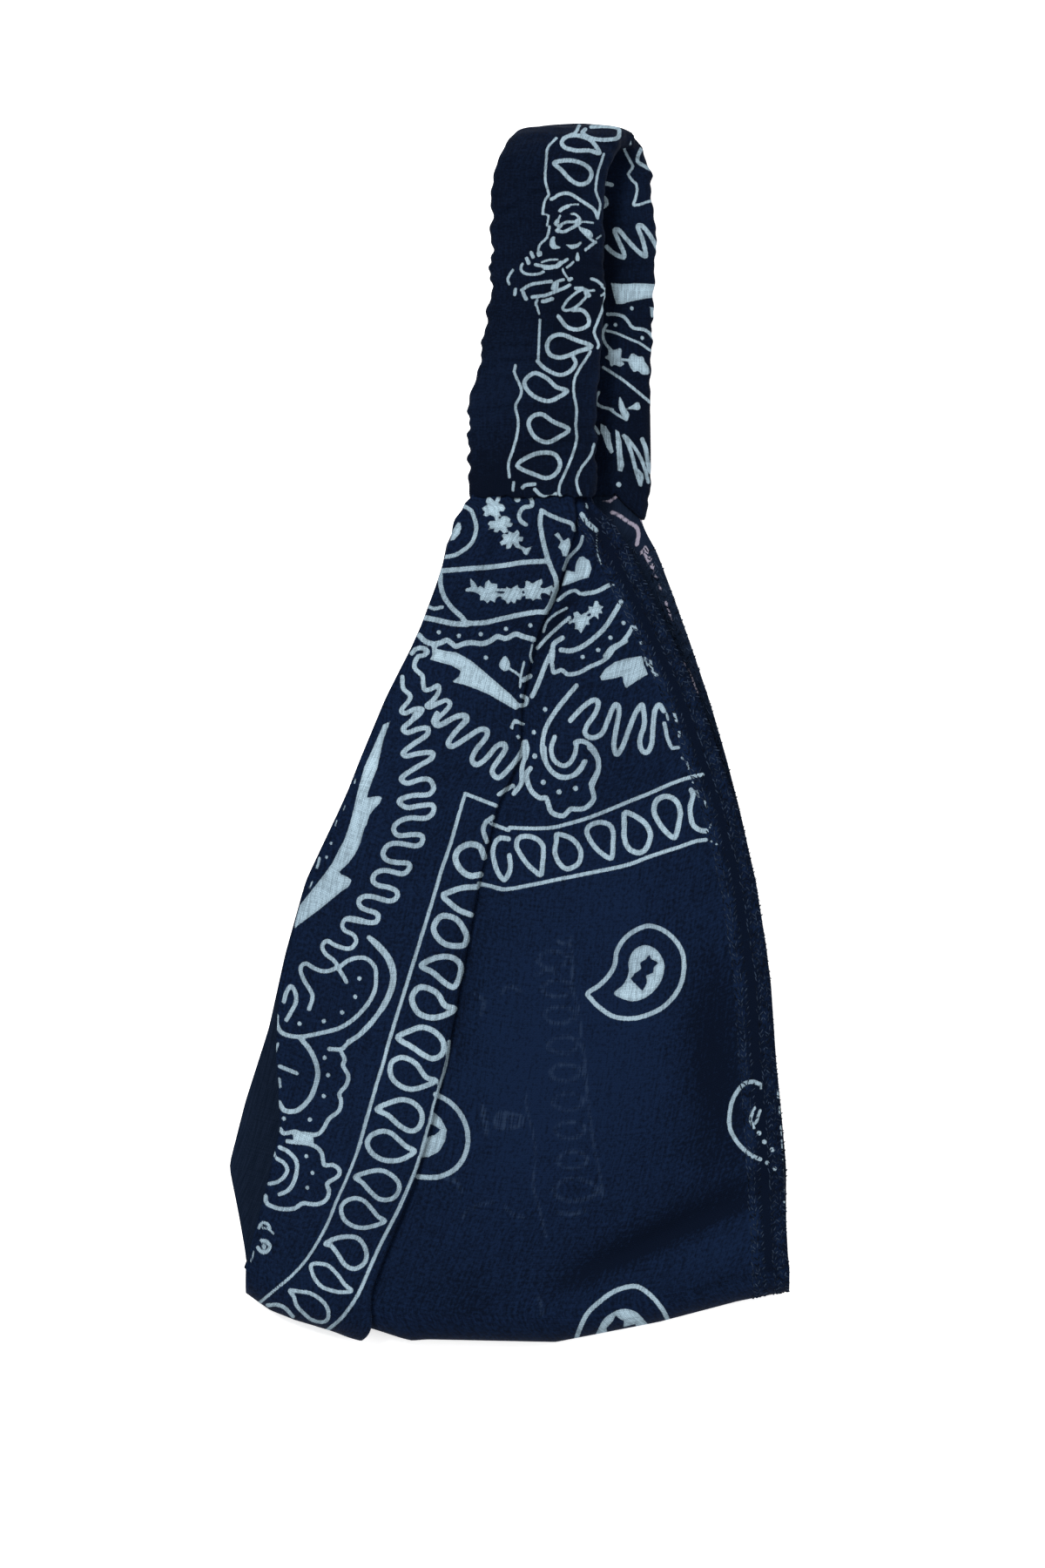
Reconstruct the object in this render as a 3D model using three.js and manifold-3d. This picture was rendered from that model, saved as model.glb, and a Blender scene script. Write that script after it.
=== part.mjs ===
// A cotton bandana headband lying on its side: a wide pleated front panel, whose two gathered ends
// are sewn into the ends of a shirred back casing, and a flat elastic that runs inside the casing.
// Millimetres, +Z up. The loop is folded flat: its near half is above, its far half rests on z = 0.
// +Y runs from the centre-front fold to the bend of the casing, and the head goes in along X.

import * as THREE from "three";
import { mergeVertices } from "three/addons/utils/BufferGeometryUtils.js";
import Module from "manifold-3d";

const wasm = await Module();
wasm.setup();

// Cloth
const WALL = 1.0;
const LAYER_PITCH = 1.25;
const HEM_EXTRA = 0.8;
const FRONT_HEM_WIDTH = 8.0;
const BACK_HEM_WIDTH = 3.0;

// Heights of the folded loop
const NEAR_BASE_Z = 10.6;
const FAR_BASE_Z = 3.0;
const PANEL_BEND_RADIUS = (NEAR_BASE_Z - FAR_BASE_Z) / 2;
const PANEL_BEND_Z = (NEAR_BASE_Z + FAR_BASE_Z) / 2;
const CASING_NEAR_Z = 15.4;
const CASING_FAR_Z = 3.3;
const CASING_BEND_RADIUS = (CASING_NEAR_Z - CASING_FAR_Z) / 2;
const CASING_BEND_Z = (CASING_NEAR_Z + CASING_FAR_Z) / 2;

// Seams where the panel's ends go into the casing's ends
const NEAR_SEAM_Y = 46.8;
const FAR_SEAM_Y = 42.4;
const TONGUE_LENGTH = 8.0;
const RISE_LENGTH = 34.0;

// Casing and elastic
const TOP_Y = 123.0;
const CASING_MEAN_HALF_HEIGHT = 2.75;
const CASING_END_HALF_HEIGHT = 3.3;
const CASING_END_FLARE = 11.0;
const RUFFLE_PITCH = 4.5;
const RUFFLE_HEIGHT = 0.5;
const RUFFLE_WIDTH = 0.6;
const CASING_INNER_HALF_HEIGHT = 1.15;
const CASING_INNER_END_HALF_HEIGHT = 2.3;
const ELASTIC_THICKNESS = 1.4;
const ELASTIC_WIDTH = 17.4;
const ELASTIC_END_GAP = 0.6;
const CASING_BEND_Y = TOP_Y - CASING_BEND_RADIUS - CASING_END_HALF_HEIGHT + 0.1;

// Edges of the panel's near half: its back edge, the pleat's fold and its front edge, against y.
const NEAR_EDGES = [
  { y: 55.0, back: -6.0, fold: 12.4, front: 15.2 },
  { y: 46.8, back: -6.0, fold: 12.4, front: 15.2 },
  { y: 43.0, back: -11.0, fold: 13.0, front: 20.2 },
  { y: 38.0, back: -13.4, fold: 11.8, front: 23.0 },
  { y: 30.0, back: -15.0, fold: 9.3, front: 27.0 },
  { y: 20.0, back: -18.8, fold: 5.0, front: 31.9 },
  { y: 7.0, back: -25.1, fold: 1.9, front: 37.8 },
  { y: -5.0, back: -30.1, fold: 1.4, front: 42.0 },
  { y: -15.0, back: -34.0, fold: -3.2, front: 45.5 },
  { y: -30.0, back: -41.1, fold: -6.8, front: 49.2 },
  { y: -50.0, back: -46.6, fold: -10.4, front: 52.2 },
  { y: -65.0, back: -47.2, fold: -13.2, front: 53.2 },
  { y: -80.0, back: -46.6, fold: -16.6, front: 54.4 },
  { y: -92.0, back: -49.6, fold: -20.2, front: 55.2 },
  { y: -105.0, back: -52.9, fold: -24.6, front: 55.8 },
  { y: -113.0, back: -53.6, fold: -28.0, front: 56.2 },
];

// The same for the far half, which shows past the near one on the left and at the upper right.
const FAR_EDGES = [
  { y: 55.0, back: 5.0, fold: 20.5, front: 25.4 },
  { y: 42.4, back: 5.0, fold: 20.5, front: 25.4 },
  { y: 37.0, back: -1.0, fold: 17.0, front: 29.0 },
  { y: 28.0, back: -10.0, fold: 12.0, front: 32.6 },
  { y: 18.0, back: -17.6, fold: 7.0, front: 36.2 },
  { y: 6.0, back: -24.8, fold: 3.0, front: 40.2 },
  { y: -5.0, back: -30.0, fold: 1.0, front: 43.4 },
  { y: -15.0, back: -34.4, fold: -3.0, front: 46.0 },
  { y: -30.0, back: -41.5, fold: -6.8, front: 49.4 },
  { y: -45.0, back: -45.7, fold: -9.6, front: 51.8 },
  { y: -60.0, back: -49.0, fold: -12.4, front: 52.9 },
  { y: -75.0, back: -53.8, fold: -15.6, front: 54.4 },
  { y: -88.0, back: -57.4, fold: -19.2, front: 55.6 },
  { y: -98.0, back: -55.4, fold: -22.6, front: 55.8 },
  { y: -106.0, back: -54.0, fold: -25.2, front: 56.0 },
  { y: -113.0, back: -53.6, fold: -28.0, front: 56.2 },
];

// The centre-front fold line of the pleated flap, and of the part of the panel under it.
const FLAP_FOLD_LINE = [
  { x: -53.6, y: -113.2 },
  { x: -43.5, y: -118.8 },
  { x: -36.4, y: -121.2 },
  { x: -28.0, y: -123.3 },
];
const UNDER_FOLD_LINE = [
  { x: -53.6, y: -111.0 },
  { x: -43.5, y: -116.6 },
  { x: -28.0, y: -120.8 },
  { x: -12.0, y: -122.4 },
  { x: 9.0, y: -123.0 },
  { x: 30.0, y: -118.6 },
  { x: 46.0, y: -114.4 },
  { x: 56.2, y: -112.0 },
];
const PLEAT_DEPTH = [
  { y: 46.8, depth: 11.0 },
  { y: 0.0, depth: 12.0 },
  { y: -113.0, depth: 9.0 },
];

// Soft ridges of the near half, as lines that a fold of cloth runs along.
const NEAR_RIDGES = [
  { x1: 57, y1: -92, x2: 18, y2: -112, height: 1.3, spread: 9 },
  { x1: 30, y1: 20, x2: 44, y2: -80, height: 1.2, spread: 10 },
  { x1: -44, y1: -50, x2: -36, y2: -108, height: 0.9, spread: 8 },
  { x1: 4, y1: 0, x2: 2, y2: -80, height: 0.7, spread: 9 },
];
const SEAM_GATHERS = 5;
const SEAM_GATHER_HEIGHT = 0.55;

// The casing's outline against the distance along it: x of its middle and half its width.
const CASING_OUTLINE = [
  { along: 0, x: 4.7, halfWidth: 13.4 },
  { along: 18, x: 4.2, halfWidth: 13.1 },
  { along: 28, x: 5.8, halfWidth: 12.3 },
  { along: 42, x: 7.5, halfWidth: 11.5 },
  { along: 60, x: 7.3, halfWidth: 11.4 },
  { along: 67, x: 8.4, halfWidth: 11.2 },
  { along: 76, x: 12.4, halfWidth: 10.8 },
  { along: 86, x: 16.4, halfWidth: 11.6 },
  { along: 100, x: 17.2, halfWidth: 12.0 },
  { along: 130, x: 16.0, halfWidth: 12.0 },
  { along: 160, x: 15.2, halfWidth: 12.3 },
];

// Mesh density
const NEAR_ROWS = 17;
const BEND_ROWS = 7;
const FAR_ROWS = 13;
const TURN_STEPS = 4;
const BACK_COLUMNS = 7;
const PLEAT_COLUMNS = 4;
const FRONT_COLUMNS = 8;
const CORNER_POINTS = 4;
const STRAIGHT_STATIONS = 9;
const BEND_STATIONS = 8;

const lerp = THREE.MathUtils.lerp;
const smoothstep = THREE.MathUtils.smoothstep;

// Value of a table's column at a place, with straight lines between its rows.
function look(table, key, at, column) {
  const rows = [...table].sort((a, b) => a[key] - b[key]);
  if (at <= rows[0][key]) return rows[0][column];
  for (let i = 1; i < rows.length; i++) {
    const low = rows[i - 1];
    const high = rows[i];
    if (at <= high[key]) {
      const share = (at - low[key]) / (high[key] - low[key]);
      return lerp(low[column], high[column], share);
    }
  }
  return rows[rows.length - 1][column];
}

// A closed solid from rings of equal count: side quads, and a fan across each end ring.
function loft(rings) {
  const count = rings[0].length;
  const positions = rings.flat().flatMap((p) => [p.x, p.y, p.z]);
  const index = [];
  for (let r = 0; r + 1 < rings.length; r++) {
    for (let i = 0; i < count; i++) {
      const j = (i + 1) % count;
      const a = r * count + i;
      const b = r * count + j;
      index.push(a, b + count, b, a, a + count, b + count);
    }
  }
  for (const [r, turned] of [[0, false], [rings.length - 1, true]]) {
    const centre = rings[r].reduce((sum, p) => sum.add(p), new THREE.Vector3()).divideScalar(count);
    const middle = positions.length / 3;
    positions.push(centre.x, centre.y, centre.z);
    for (let i = 0; i < count; i++) {
      const a = r * count + i;
      const b = r * count + ((i + 1) % count);
      index.push(...(turned ? [b, a, middle] : [a, b, middle]));
    }
  }
  return closedGeometry(positions, index);
}

// A closed solid from two grids of points, an outer and an inner face, walled round their rim.
function sheetSolid(outer, inner) {
  const rows = outer.length;
  const columns = outer[0].length;
  const positions = [...outer.flat(), ...inner.flat()].flatMap((p) => [p.x, p.y, p.z]);
  const innerStart = rows * columns;
  const index = [];
  for (let r = 0; r + 1 < rows; r++) {
    for (let c = 0; c + 1 < columns; c++) {
      const a = r * columns + c;
      const b = a + columns;
      index.push(a, b, b + 1, a, b + 1, a + 1);
      const d = innerStart + a;
      const e = innerStart + b;
      index.push(d, e + 1, e, d, d + 1, e + 1);
    }
  }
  const rim = [];
  for (let c = 0; c < columns; c++) rim.push(c);
  for (let r = 1; r < rows; r++) rim.push(r * columns + columns - 1);
  for (let c = columns - 2; c >= 0; c--) rim.push((rows - 1) * columns + c);
  for (let r = rows - 2; r > 0; r--) rim.push(r * columns);
  rim.forEach((a, i) => {
    const b = rim[(i + 1) % rim.length];
    index.push(a, b, innerStart + b, a, innerStart + b, innerStart + a);
  });
  return closedGeometry(positions, index);
}

function closedGeometry(positions, index) {
  const geometry = new THREE.BufferGeometry();
  geometry.setAttribute("position", new THREE.Float32BufferAttribute(positions, 3));
  geometry.setIndex(index);
  return geometry;
}

function manifoldOf(geometry) {
  const merged = mergeVertices(geometry, 1e-4);
  return new wasm.Manifold(
    new wasm.Mesh({
      numProp: 3,
      vertProperties: new Float32Array(merged.attributes.position.array),
      triVerts: new Uint32Array(merged.index.array),
    }),
  );
}

function geometryOf(solid) {
  const mesh = solid.getMesh();
  return closedGeometry([...mesh.vertProperties], [...mesh.triVerts]);
}

// The panel's section in one row, from its back edge over the flap, round the pleat's two turns
// and on to its front edge. Each point says where it is across the panel and on which layer.
function panelColumns() {
  const columns = [];
  const add = (zone, share, layer, turn = 0) => columns.push({ zone, share, layer, turn });
  const steps = (count) => Array.from({ length: count }, (_, i) => i / (count - 1));
  add("backHem", 0, 2);
  add("backHem", 1, 2);
  steps(BACK_COLUMNS).forEach((share) => add("back", share, 2));
  steps(PLEAT_COLUMNS).slice(1).forEach((share) => add("pleat", share, 2));
  for (let i = 1; i < TURN_STEPS; i++) add("foldTurn", i / TURN_STEPS, 2);
  steps(PLEAT_COLUMNS).forEach((share) => add("pleat", 1 - share, 1));
  for (let i = 1; i < TURN_STEPS; i++) add("innerTurn", i / TURN_STEPS, 1);
  steps(PLEAT_COLUMNS).forEach((share) => add("pleat", share, 0));
  steps(FRONT_COLUMNS).slice(1).forEach((share) => add("front", share, 0));
  add("frontHem", 0, 0);
  add("frontHem", 0.5, 0);
  add("frontHem", 1, 0);
  return columns;
}

// Place across the panel and height above the under layer, for a column at a y of one half.
function panelPoint(column, edges, y) {
  const back = look(edges, "y", y, "back");
  const fold = look(edges, "y", y, "fold");
  const front = look(edges, "y", y, "front");
  const turnRadius = LAYER_PITCH / 2;
  const pleatIn = fold - look(PLEAT_DEPTH, "y", y, "depth");
  const narrow = smoothstep(front - back, 22, 34);
  const backHem = back + lerp(1.2, BACK_HEM_WIDTH, narrow);
  const frontHem = front - lerp(1.6, FRONT_HEM_WIDTH, narrow);
  const [pleatStart, pleatEnd] = [pleatIn + turnRadius, fold - turnRadius];
  const level = column.layer * LAYER_PITCH;
  const turned = column.share * Math.PI;
  switch (column.zone) {
    case "backHem":
      return { x: lerp(back, backHem - 0.3, column.share), n: level };
    case "back":
      return { x: lerp(backHem, pleatStart, column.share), n: level };
    case "pleat":
      return { x: lerp(pleatStart, pleatEnd, column.share), n: level };
    case "foldTurn":
      return {
        x: pleatEnd + turnRadius * Math.sin(turned),
        n: level - turnRadius * (1 - Math.cos(turned)),
      };
    case "innerTurn":
      return {
        x: pleatStart - turnRadius * Math.sin(turned),
        n: level - turnRadius * (1 - Math.cos(turned)),
      };
    case "front":
      return { x: lerp(pleatEnd, frontHem, column.share), n: level };
    default:
      return { x: lerp(frontHem + 0.3, front, column.share), n: level };
  }
}

// How far a point of the near half stands above its layer: the drape's ridges and the gathers.
function nearDrape(x, y) {
  let rise = 0;
  for (const ridge of NEAR_RIDGES) {
    const line = new THREE.Line3(
      new THREE.Vector3(ridge.x1, ridge.y1, 0),
      new THREE.Vector3(ridge.x2, ridge.y2, 0),
    );
    const point = new THREE.Vector3(x, y, 0);
    const away = line.closestPointToPoint(point, true, new THREE.Vector3()).distanceTo(point);
    rise += ridge.height * Math.exp(-((away / ridge.spread) ** 2));
  }
  return rise * smoothstep(y, -112, -92) * (1 - smoothstep(y, 20, 40));
}

function gatherWave(x, y, edges, seamY) {
  const back = look(edges, "y", y, "back");
  const front = look(edges, "y", y, "front");
  const share = (x - back) / (front - back);
  const fade = smoothstep(y, 0, seamY - 12) * (1 - smoothstep(y, seamY - 6, seamY - 1));
  return fade * Math.sin(2 * Math.PI * SEAM_GATHERS * share);
}

// One row of the panel: points, with the direction that faces out of the loop there.
function panelRow(columns, stage, share) {
  const angle = stage === "near" ? 0 : stage === "bend" ? share * Math.PI : Math.PI;
  const outward = new THREE.Vector3(0, -Math.sin(angle), Math.cos(angle));
  const flat = smoothstep(angle, 0, Math.PI);
  const hems = [];
  const points = columns.map((column) => {
    const bottom = panelPoint(column, NEAR_EDGES, -113);
    const foldLine = column.layer === 2 ? FLAP_FOLD_LINE : UNDER_FOLD_LINE;
    const layerBack = column.layer === 1 ? -LAYER_PITCH : 0;
    const frontShare = smoothstep(bottom.x, -28, -16);
    const bendMiddle = bottom.n + frontShare * LAYER_PITCH * (column.layer === 0 ? 1 : 0);
    const turnY =
      look(foldLine, "x", bottom.x, "y") + layerBack + PANEL_BEND_RADIUS + bendMiddle + WALL / 2;
    const edges = stage === "far" ? FAR_EDGES : NEAR_EDGES;
    const seam = stage === "far" ? FAR_SEAM_Y : NEAR_SEAM_Y;
    const end = seam + TONGUE_LENGTH;
    const y = stage === "near" ? lerp(end, turnY, share) : stage === "far" ? lerp(turnY, end, share) : turnY;
    const place = panelPoint(column, edges, stage === "bend" ? -113 : y);
    const overPleat = smoothstep(place.x, look(edges, "y", y, "fold"), look(edges, "y", y, "fold") + 9);
    const pressed = column.layer === 0 ? 2 * LAYER_PITCH * overPleat : 0;
    let n = place.n + flat * pressed;
    let lift = 0;
    const hemmed = column.zone.endsWith("Hem") ? HEM_EXTRA : 0;
    hems.push(hemmed * (1 - smoothstep(y, seam - 7, seam - 1)));
    if (stage === "near") {
      const backShare = 1 - smoothstep(place.x, look(edges, "y", y, "back"), look(edges, "y", y, "fold") - 14);
      const droop = column.layer === 2 ? 1.9 * backShare * (1 - smoothstep(y, 5, 35)) : 0;
      n += nearDrape(place.x, y) - droop * smoothstep(y, -116, -100);
      lift = (CASING_NEAR_Z - NEAR_BASE_Z - LAYER_PITCH) * smoothstep(y, seam - RISE_LENGTH, seam - 1);
      lift += SEAM_GATHER_HEIGHT * gatherWave(place.x, y, edges, seam);
    } else if (stage === "far") {
      const rise = smoothstep(y, seam - RISE_LENGTH, seam - 1);
      lift = (CASING_FAR_Z - FAR_BASE_Z + LAYER_PITCH) * rise;
    }
    return new THREE.Vector3(place.x, y, PANEL_BEND_Z + lift).addScaledVector(outward, PANEL_BEND_RADIUS + n);
  });
  return { points, outward, hems };
}

// A row's outer and inner faces: the row's points moved to each side of the cloth, with mitres.
function thickened(row) {
  const sideways = new THREE.Vector3(1, 0, 0);
  const flat = row.points.map((p) => ({ x: p.dot(sideways), n: p.dot(row.outward) }));
  const normals = flat.map((p, i) => {
    const before = flat[Math.max(0, i - 1)];
    const after = flat[Math.min(flat.length - 1, i + 1)];
    const unit = (a, b) => {
      const length = Math.hypot(b.x - a.x, b.n - a.n) || 1;
      return { x: -(b.n - a.n) / length, n: (b.x - a.x) / length };
    };
    const first = i ? unit(before, p) : unit(p, after);
    const second = i < flat.length - 1 ? unit(p, after) : first;
    const sum = { x: first.x + second.x, n: first.n + second.n };
    const size = Math.hypot(sum.x, sum.n);
    const mitre = Math.min(1.15, 2 / size);
    return { x: (sum.x / size) * mitre, n: (sum.n / size) * mitre };
  });
  const moved = (distance) =>
    row.points.map((p, i) =>
      p
        .clone()
        .addScaledVector(sideways, normals[i].x * distance(i))
        .addScaledVector(row.outward, normals[i].n * distance(i)),
    );
  return { outer: moved(() => WALL / 2), inner: moved((i) => -WALL / 2 - row.hems[i]) };
}

function frontPanelGeometry() {
  const columns = panelColumns();
  const rows = [];
  const tongueShare = 0.05;
  const nearShares = [0, tongueShare];
  for (let i = 1; i < NEAR_ROWS; i++) nearShares.push(lerp(tongueShare, 1, i / (NEAR_ROWS - 1)));
  nearShares.forEach((share) => rows.push(panelRow(columns, "near", share)));
  for (let i = 1; i < BEND_ROWS; i++) rows.push(panelRow(columns, "bend", i / BEND_ROWS));
  for (let i = 0; i < FAR_ROWS; i++) rows.push(panelRow(columns, "far", lerp(0, 1 - tongueShare, i / (FAR_ROWS - 1))));
  rows.push(panelRow(columns, "far", 1));
  const faces = rows.map((row) => thickened(row));
  return sheetSolid(faces.map((f) => f.outer), faces.map((f) => f.inner));
}

// The casing's path: up the near side, round the bend and down the far side.
const NEAR_RUN = CASING_BEND_Y - NEAR_SEAM_Y;
const BEND_RUN = Math.PI * CASING_BEND_RADIUS;
const FAR_RUN = CASING_BEND_Y - FAR_SEAM_Y;
const CASING_LENGTH = NEAR_RUN + BEND_RUN + FAR_RUN;
const TUCK_END = TONGUE_LENGTH + ELASTIC_END_GAP;

function casingFrame(along) {
  const angle = THREE.MathUtils.clamp((along - NEAR_RUN) / CASING_BEND_RADIUS, 0, Math.PI);
  const outward = new THREE.Vector3(0, Math.sin(angle), Math.cos(angle));
  const straight = along < NEAR_RUN ? along - NEAR_RUN : Math.max(0, along - NEAR_RUN - BEND_RUN) * -1;
  const centre = new THREE.Vector3(look(CASING_OUTLINE, "along", along, "x"), CASING_BEND_Y + straight, CASING_BEND_Z);
  return { centre: centre.addScaledVector(outward, CASING_BEND_RADIUS), outward };
}

// A rounded flat ring across the casing's path.
function flatRing(along, halfWidth, halfHeight, corner) {
  const { centre, outward } = casingFrame(along);
  const radius = Math.min(corner, halfHeight, halfWidth);
  const ring = [];
  for (let quarter = 0; quarter < 4; quarter++) {
    const sideX = quarter === 0 || quarter === 3 ? 1 : -1;
    const sideN = quarter < 2 ? 1 : -1;
    for (let i = 0; i < CORNER_POINTS; i++) {
      const turn = ((quarter + i / (CORNER_POINTS - 1)) * Math.PI) / 2;
      const x = sideX * (halfWidth - radius) + radius * Math.cos(turn);
      const n = sideN * (halfHeight - radius) + radius * Math.sin(turn);
      ring.push(centre.clone().add(new THREE.Vector3(x, 0, 0)).addScaledVector(outward, n));
    }
  }
  return ring;
}

// Places along the casing, close together round the bend. The elastic shares them with the casing's
// inside, so that the two stay parallel.
function casingStations(start, end) {
  const stations = [start];
  for (let i = 0; i <= STRAIGHT_STATIONS; i++) stations.push(lerp(start, NEAR_RUN, i / STRAIGHT_STATIONS));
  for (let i = 1; i < BEND_STATIONS; i++) stations.push(NEAR_RUN + (BEND_RUN * i) / BEND_STATIONS);
  for (let i = 0; i <= STRAIGHT_STATIONS; i++) {
    stations.push(lerp(NEAR_RUN + BEND_RUN, end, i / STRAIGHT_STATIONS));
  }
  return stations.slice(1);
}

function endShare(along) {
  const toEnd = Math.min(along, CASING_LENGTH - along);
  return 1 - smoothstep(toEnd, TONGUE_LENGTH, TONGUE_LENGTH + CASING_END_FLARE);
}

function casingGeometry() {
  const rows = 2 * Math.round(CASING_LENGTH / RUFFLE_PITCH);
  const outerRings = [];
  for (let i = 0; i <= rows; i++) {
    const along = (i / rows) * CASING_LENGTH;
    const end = endShare(along);
    const ruffle = (i % 2 ? 1 : -1) * (0.8 + 0.2 * Math.sin(i * 1.7)) * (1 - end);
    const halfWidth = look(CASING_OUTLINE, "along", along, "halfWidth") + ruffle * RUFFLE_WIDTH;
    const halfHeight = lerp(CASING_MEAN_HALF_HEIGHT + ruffle * RUFFLE_HEIGHT, CASING_END_HALF_HEIGHT, end);
    outerRings.push(flatRing(along, halfWidth, halfHeight, 2.2));
  }
  const inside = [-1, ...casingStations(TUCK_END, CASING_LENGTH - TUCK_END), CASING_LENGTH + 1];
  const innerRings = inside.map((along) => {
    const end = endShare(along);
    const halfWidth = look(CASING_OUTLINE, "along", along, "halfWidth") - WALL - RUFFLE_WIDTH;
    const halfHeight = lerp(CASING_INNER_HALF_HEIGHT, CASING_INNER_END_HALF_HEIGHT, end);
    return flatRing(along, lerp(halfWidth, halfWidth + RUFFLE_WIDTH, end), halfHeight, 0.7);
  });
  return geometryOf(manifoldOf(loft(outerRings)).subtract(manifoldOf(loft(innerRings))));
}

function elasticGeometry() {
  const corners = [[1, 1], [-1, 1], [-1, -1], [1, -1]];
  const rings = casingStations(TUCK_END, CASING_LENGTH - TUCK_END).map((along) => {
    const { centre, outward } = casingFrame(along);
    return corners.map(([x, n]) => {
      const across = new THREE.Vector3((x * ELASTIC_WIDTH) / 2, 0, 0);
      return centre.clone().add(across).addScaledVector(outward, (n * ELASTIC_THICKNESS) / 2);
    });
  });
  return loft(rings);
}

function piece(name, geometry, color, roughness) {
  const material = new THREE.MeshStandardMaterial({ color, roughness, metalness: 0 });
  const mesh = new THREE.Mesh(geometry, material);
  mesh.name = name;
  return mesh;
}

const headband = new THREE.Group();
headband.add(piece("front_panel", frontPanelGeometry(), 0x14203c, 0.9));
headband.add(piece("back_casing", casingGeometry(), 0x0f1a31, 0.9));
headband.add(piece("elastic_band", elasticGeometry(), 0x20242c, 0.8));

export default headband;
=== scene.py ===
"""Looks of the bandana headband: the printed cotton panel and casing, their stitching and a studio.

Lengths are millimetres until a mesh is made, in the frame of the solids: +Y from the centre-front
fold to the bend of the casing, +Z up from the surface that the headband lies on."""

import math

import bpy
import numpy as np
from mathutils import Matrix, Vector


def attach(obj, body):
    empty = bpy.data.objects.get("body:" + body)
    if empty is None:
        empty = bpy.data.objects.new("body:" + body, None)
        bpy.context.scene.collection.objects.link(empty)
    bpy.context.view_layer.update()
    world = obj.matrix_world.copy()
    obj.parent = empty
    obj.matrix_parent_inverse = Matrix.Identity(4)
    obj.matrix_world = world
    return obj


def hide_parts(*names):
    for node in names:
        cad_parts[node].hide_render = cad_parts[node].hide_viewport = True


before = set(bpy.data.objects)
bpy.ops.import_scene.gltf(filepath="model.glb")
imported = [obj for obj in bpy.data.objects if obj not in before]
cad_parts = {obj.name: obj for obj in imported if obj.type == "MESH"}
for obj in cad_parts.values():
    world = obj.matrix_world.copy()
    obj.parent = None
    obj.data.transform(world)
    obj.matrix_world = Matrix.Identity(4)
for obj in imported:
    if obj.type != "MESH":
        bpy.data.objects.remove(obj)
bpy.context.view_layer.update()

MM = 0.001

# Cloth: its thickness, the step from layer to layer of the pleat, the hems' widths, also where the
# panel is narrow, and how much thicker they are.
WALL = 0.7
LAYER_PITCH = 1.25
FRONT_HEM_WIDTH = 8.0
BACK_HEM_WIDTH = 3.0
NARROW_FRONT_HEM = 1.6
NARROW_BACK_HEM = 1.2
HEM_EXTRA = 0.7

# Heights of the folded loop
NEAR_BASE_Z = 10.6
FAR_BASE_Z = 3.0
PANEL_BEND_RADIUS = (NEAR_BASE_Z - FAR_BASE_Z) / 2
PANEL_BEND_Z = (NEAR_BASE_Z + FAR_BASE_Z) / 2
CASING_NEAR_Z = 15.4
CASING_FAR_Z = 3.3
CASING_BEND_RADIUS = (CASING_NEAR_Z - CASING_FAR_Z) / 2
CASING_BEND_Z = (CASING_NEAR_Z + CASING_FAR_Z) / 2

# Seams of both halves, how far the panel runs into the casing, how long it takes to rise to it, and
# the ends of the loop: the casing's bend and the table's last row at the centre-front fold.
NEAR_SEAM_Y = 46.8
FAR_SEAM_Y = 42.4
TONGUE_LENGTH = 7.0
RISE_LENGTH = 34.0
LOOP_TOP_Y = 123.5
CASING_BEND_Y = LOOP_TOP_Y - CASING_BEND_RADIUS - 3.2
FRONT_END_Y = -113.0

# The casing's straight runs and its bend, along it from the near end to the far end.
NEAR_RUN = CASING_BEND_Y - NEAR_SEAM_Y
BEND_RUN = math.pi * CASING_BEND_RADIUS
CASING_LENGTH = NEAR_RUN + BEND_RUN + CASING_BEND_Y - FAR_SEAM_Y

# Edges of the panel's halves against y: back edge, fold of the pleat, front edge.
NEAR_EDGES = np.array(
    [
        (55.0, -6.0, 12.4, 15.2),
        (49.5, -6.2, 12.4, 15.3),
        (46.2, -9.3, 12.4, 16.0),
        (43.0, -11.3, 13.0, 20.2),
        (38.0, -12.6, 11.8, 23.3),
        (30.0, -15.0, 9.3, 27.3),
        (20.0, -18.8, 5.0, 32.2),
        (7.0, -25.4, 1.9, 38.1),
        (-5.0, -30.4, 1.4, 42.3),
        (-15.0, -34.3, -3.2, 45.8),
        (-30.0, -41.4, -6.8, 49.5),
        (-50.0, -46.9, -10.4, 52.5),
        (-65.0, -47.5, -13.2, 53.5),
        (-80.0, -46.6, -16.6, 54.7),
        (-92.0, -49.6, -20.2, 55.3),
        (-105.0, -52.9, -25.6, 55.9),
        (-113.0, -53.6, -28.6, 56.3),
    ]
)
FAR_EDGES = np.array(
    [
        (55.0, 5.0, 20.5, 25.4),
        (42.4, 5.0, 20.5, 26.4),
        (37.0, -1.0, 17.0, 29.5),
        (28.0, -10.0, 12.0, 32.9),
        (18.0, -17.6, 7.0, 36.5),
        (6.0, -25.1, 3.0, 40.5),
        (-5.0, -30.3, 1.0, 43.7),
        (-15.0, -34.7, -3.0, 46.3),
        (-30.0, -41.8, -6.8, 49.7),
        (-45.0, -46.0, -9.6, 52.1),
        (-60.0, -49.3, -12.4, 53.2),
        (-75.0, -54.1, -15.6, 54.7),
        (-88.0, -57.4, -19.2, 55.9),
        (-98.0, -55.4, -22.6, 55.9),
        (-106.0, -54.0, -25.8, 56.1),
        (-113.0, -53.6, -28.6, 56.3),
    ]
)
# The centre-front fold against x, of the flap and of the cloth under it.
FLAP_FOLD_LINE = np.array(
    [(-53.6, -113.6), (-48.6, -117.1), (-43.5, -119.1), (-36.4, -121.2), (-28.6, -123.2)]
)
UNDER_FOLD_LINE = np.array(
    [
        (-53.6, -111.2),
        (-43.5, -116.8),
        (-28.0, -120.8),
        (-20, -122.8),
        (9, -123.4),
        (30, -119.3),
        (46, -115.1),
        (56.2, -113.1),
    ]
)
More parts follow.
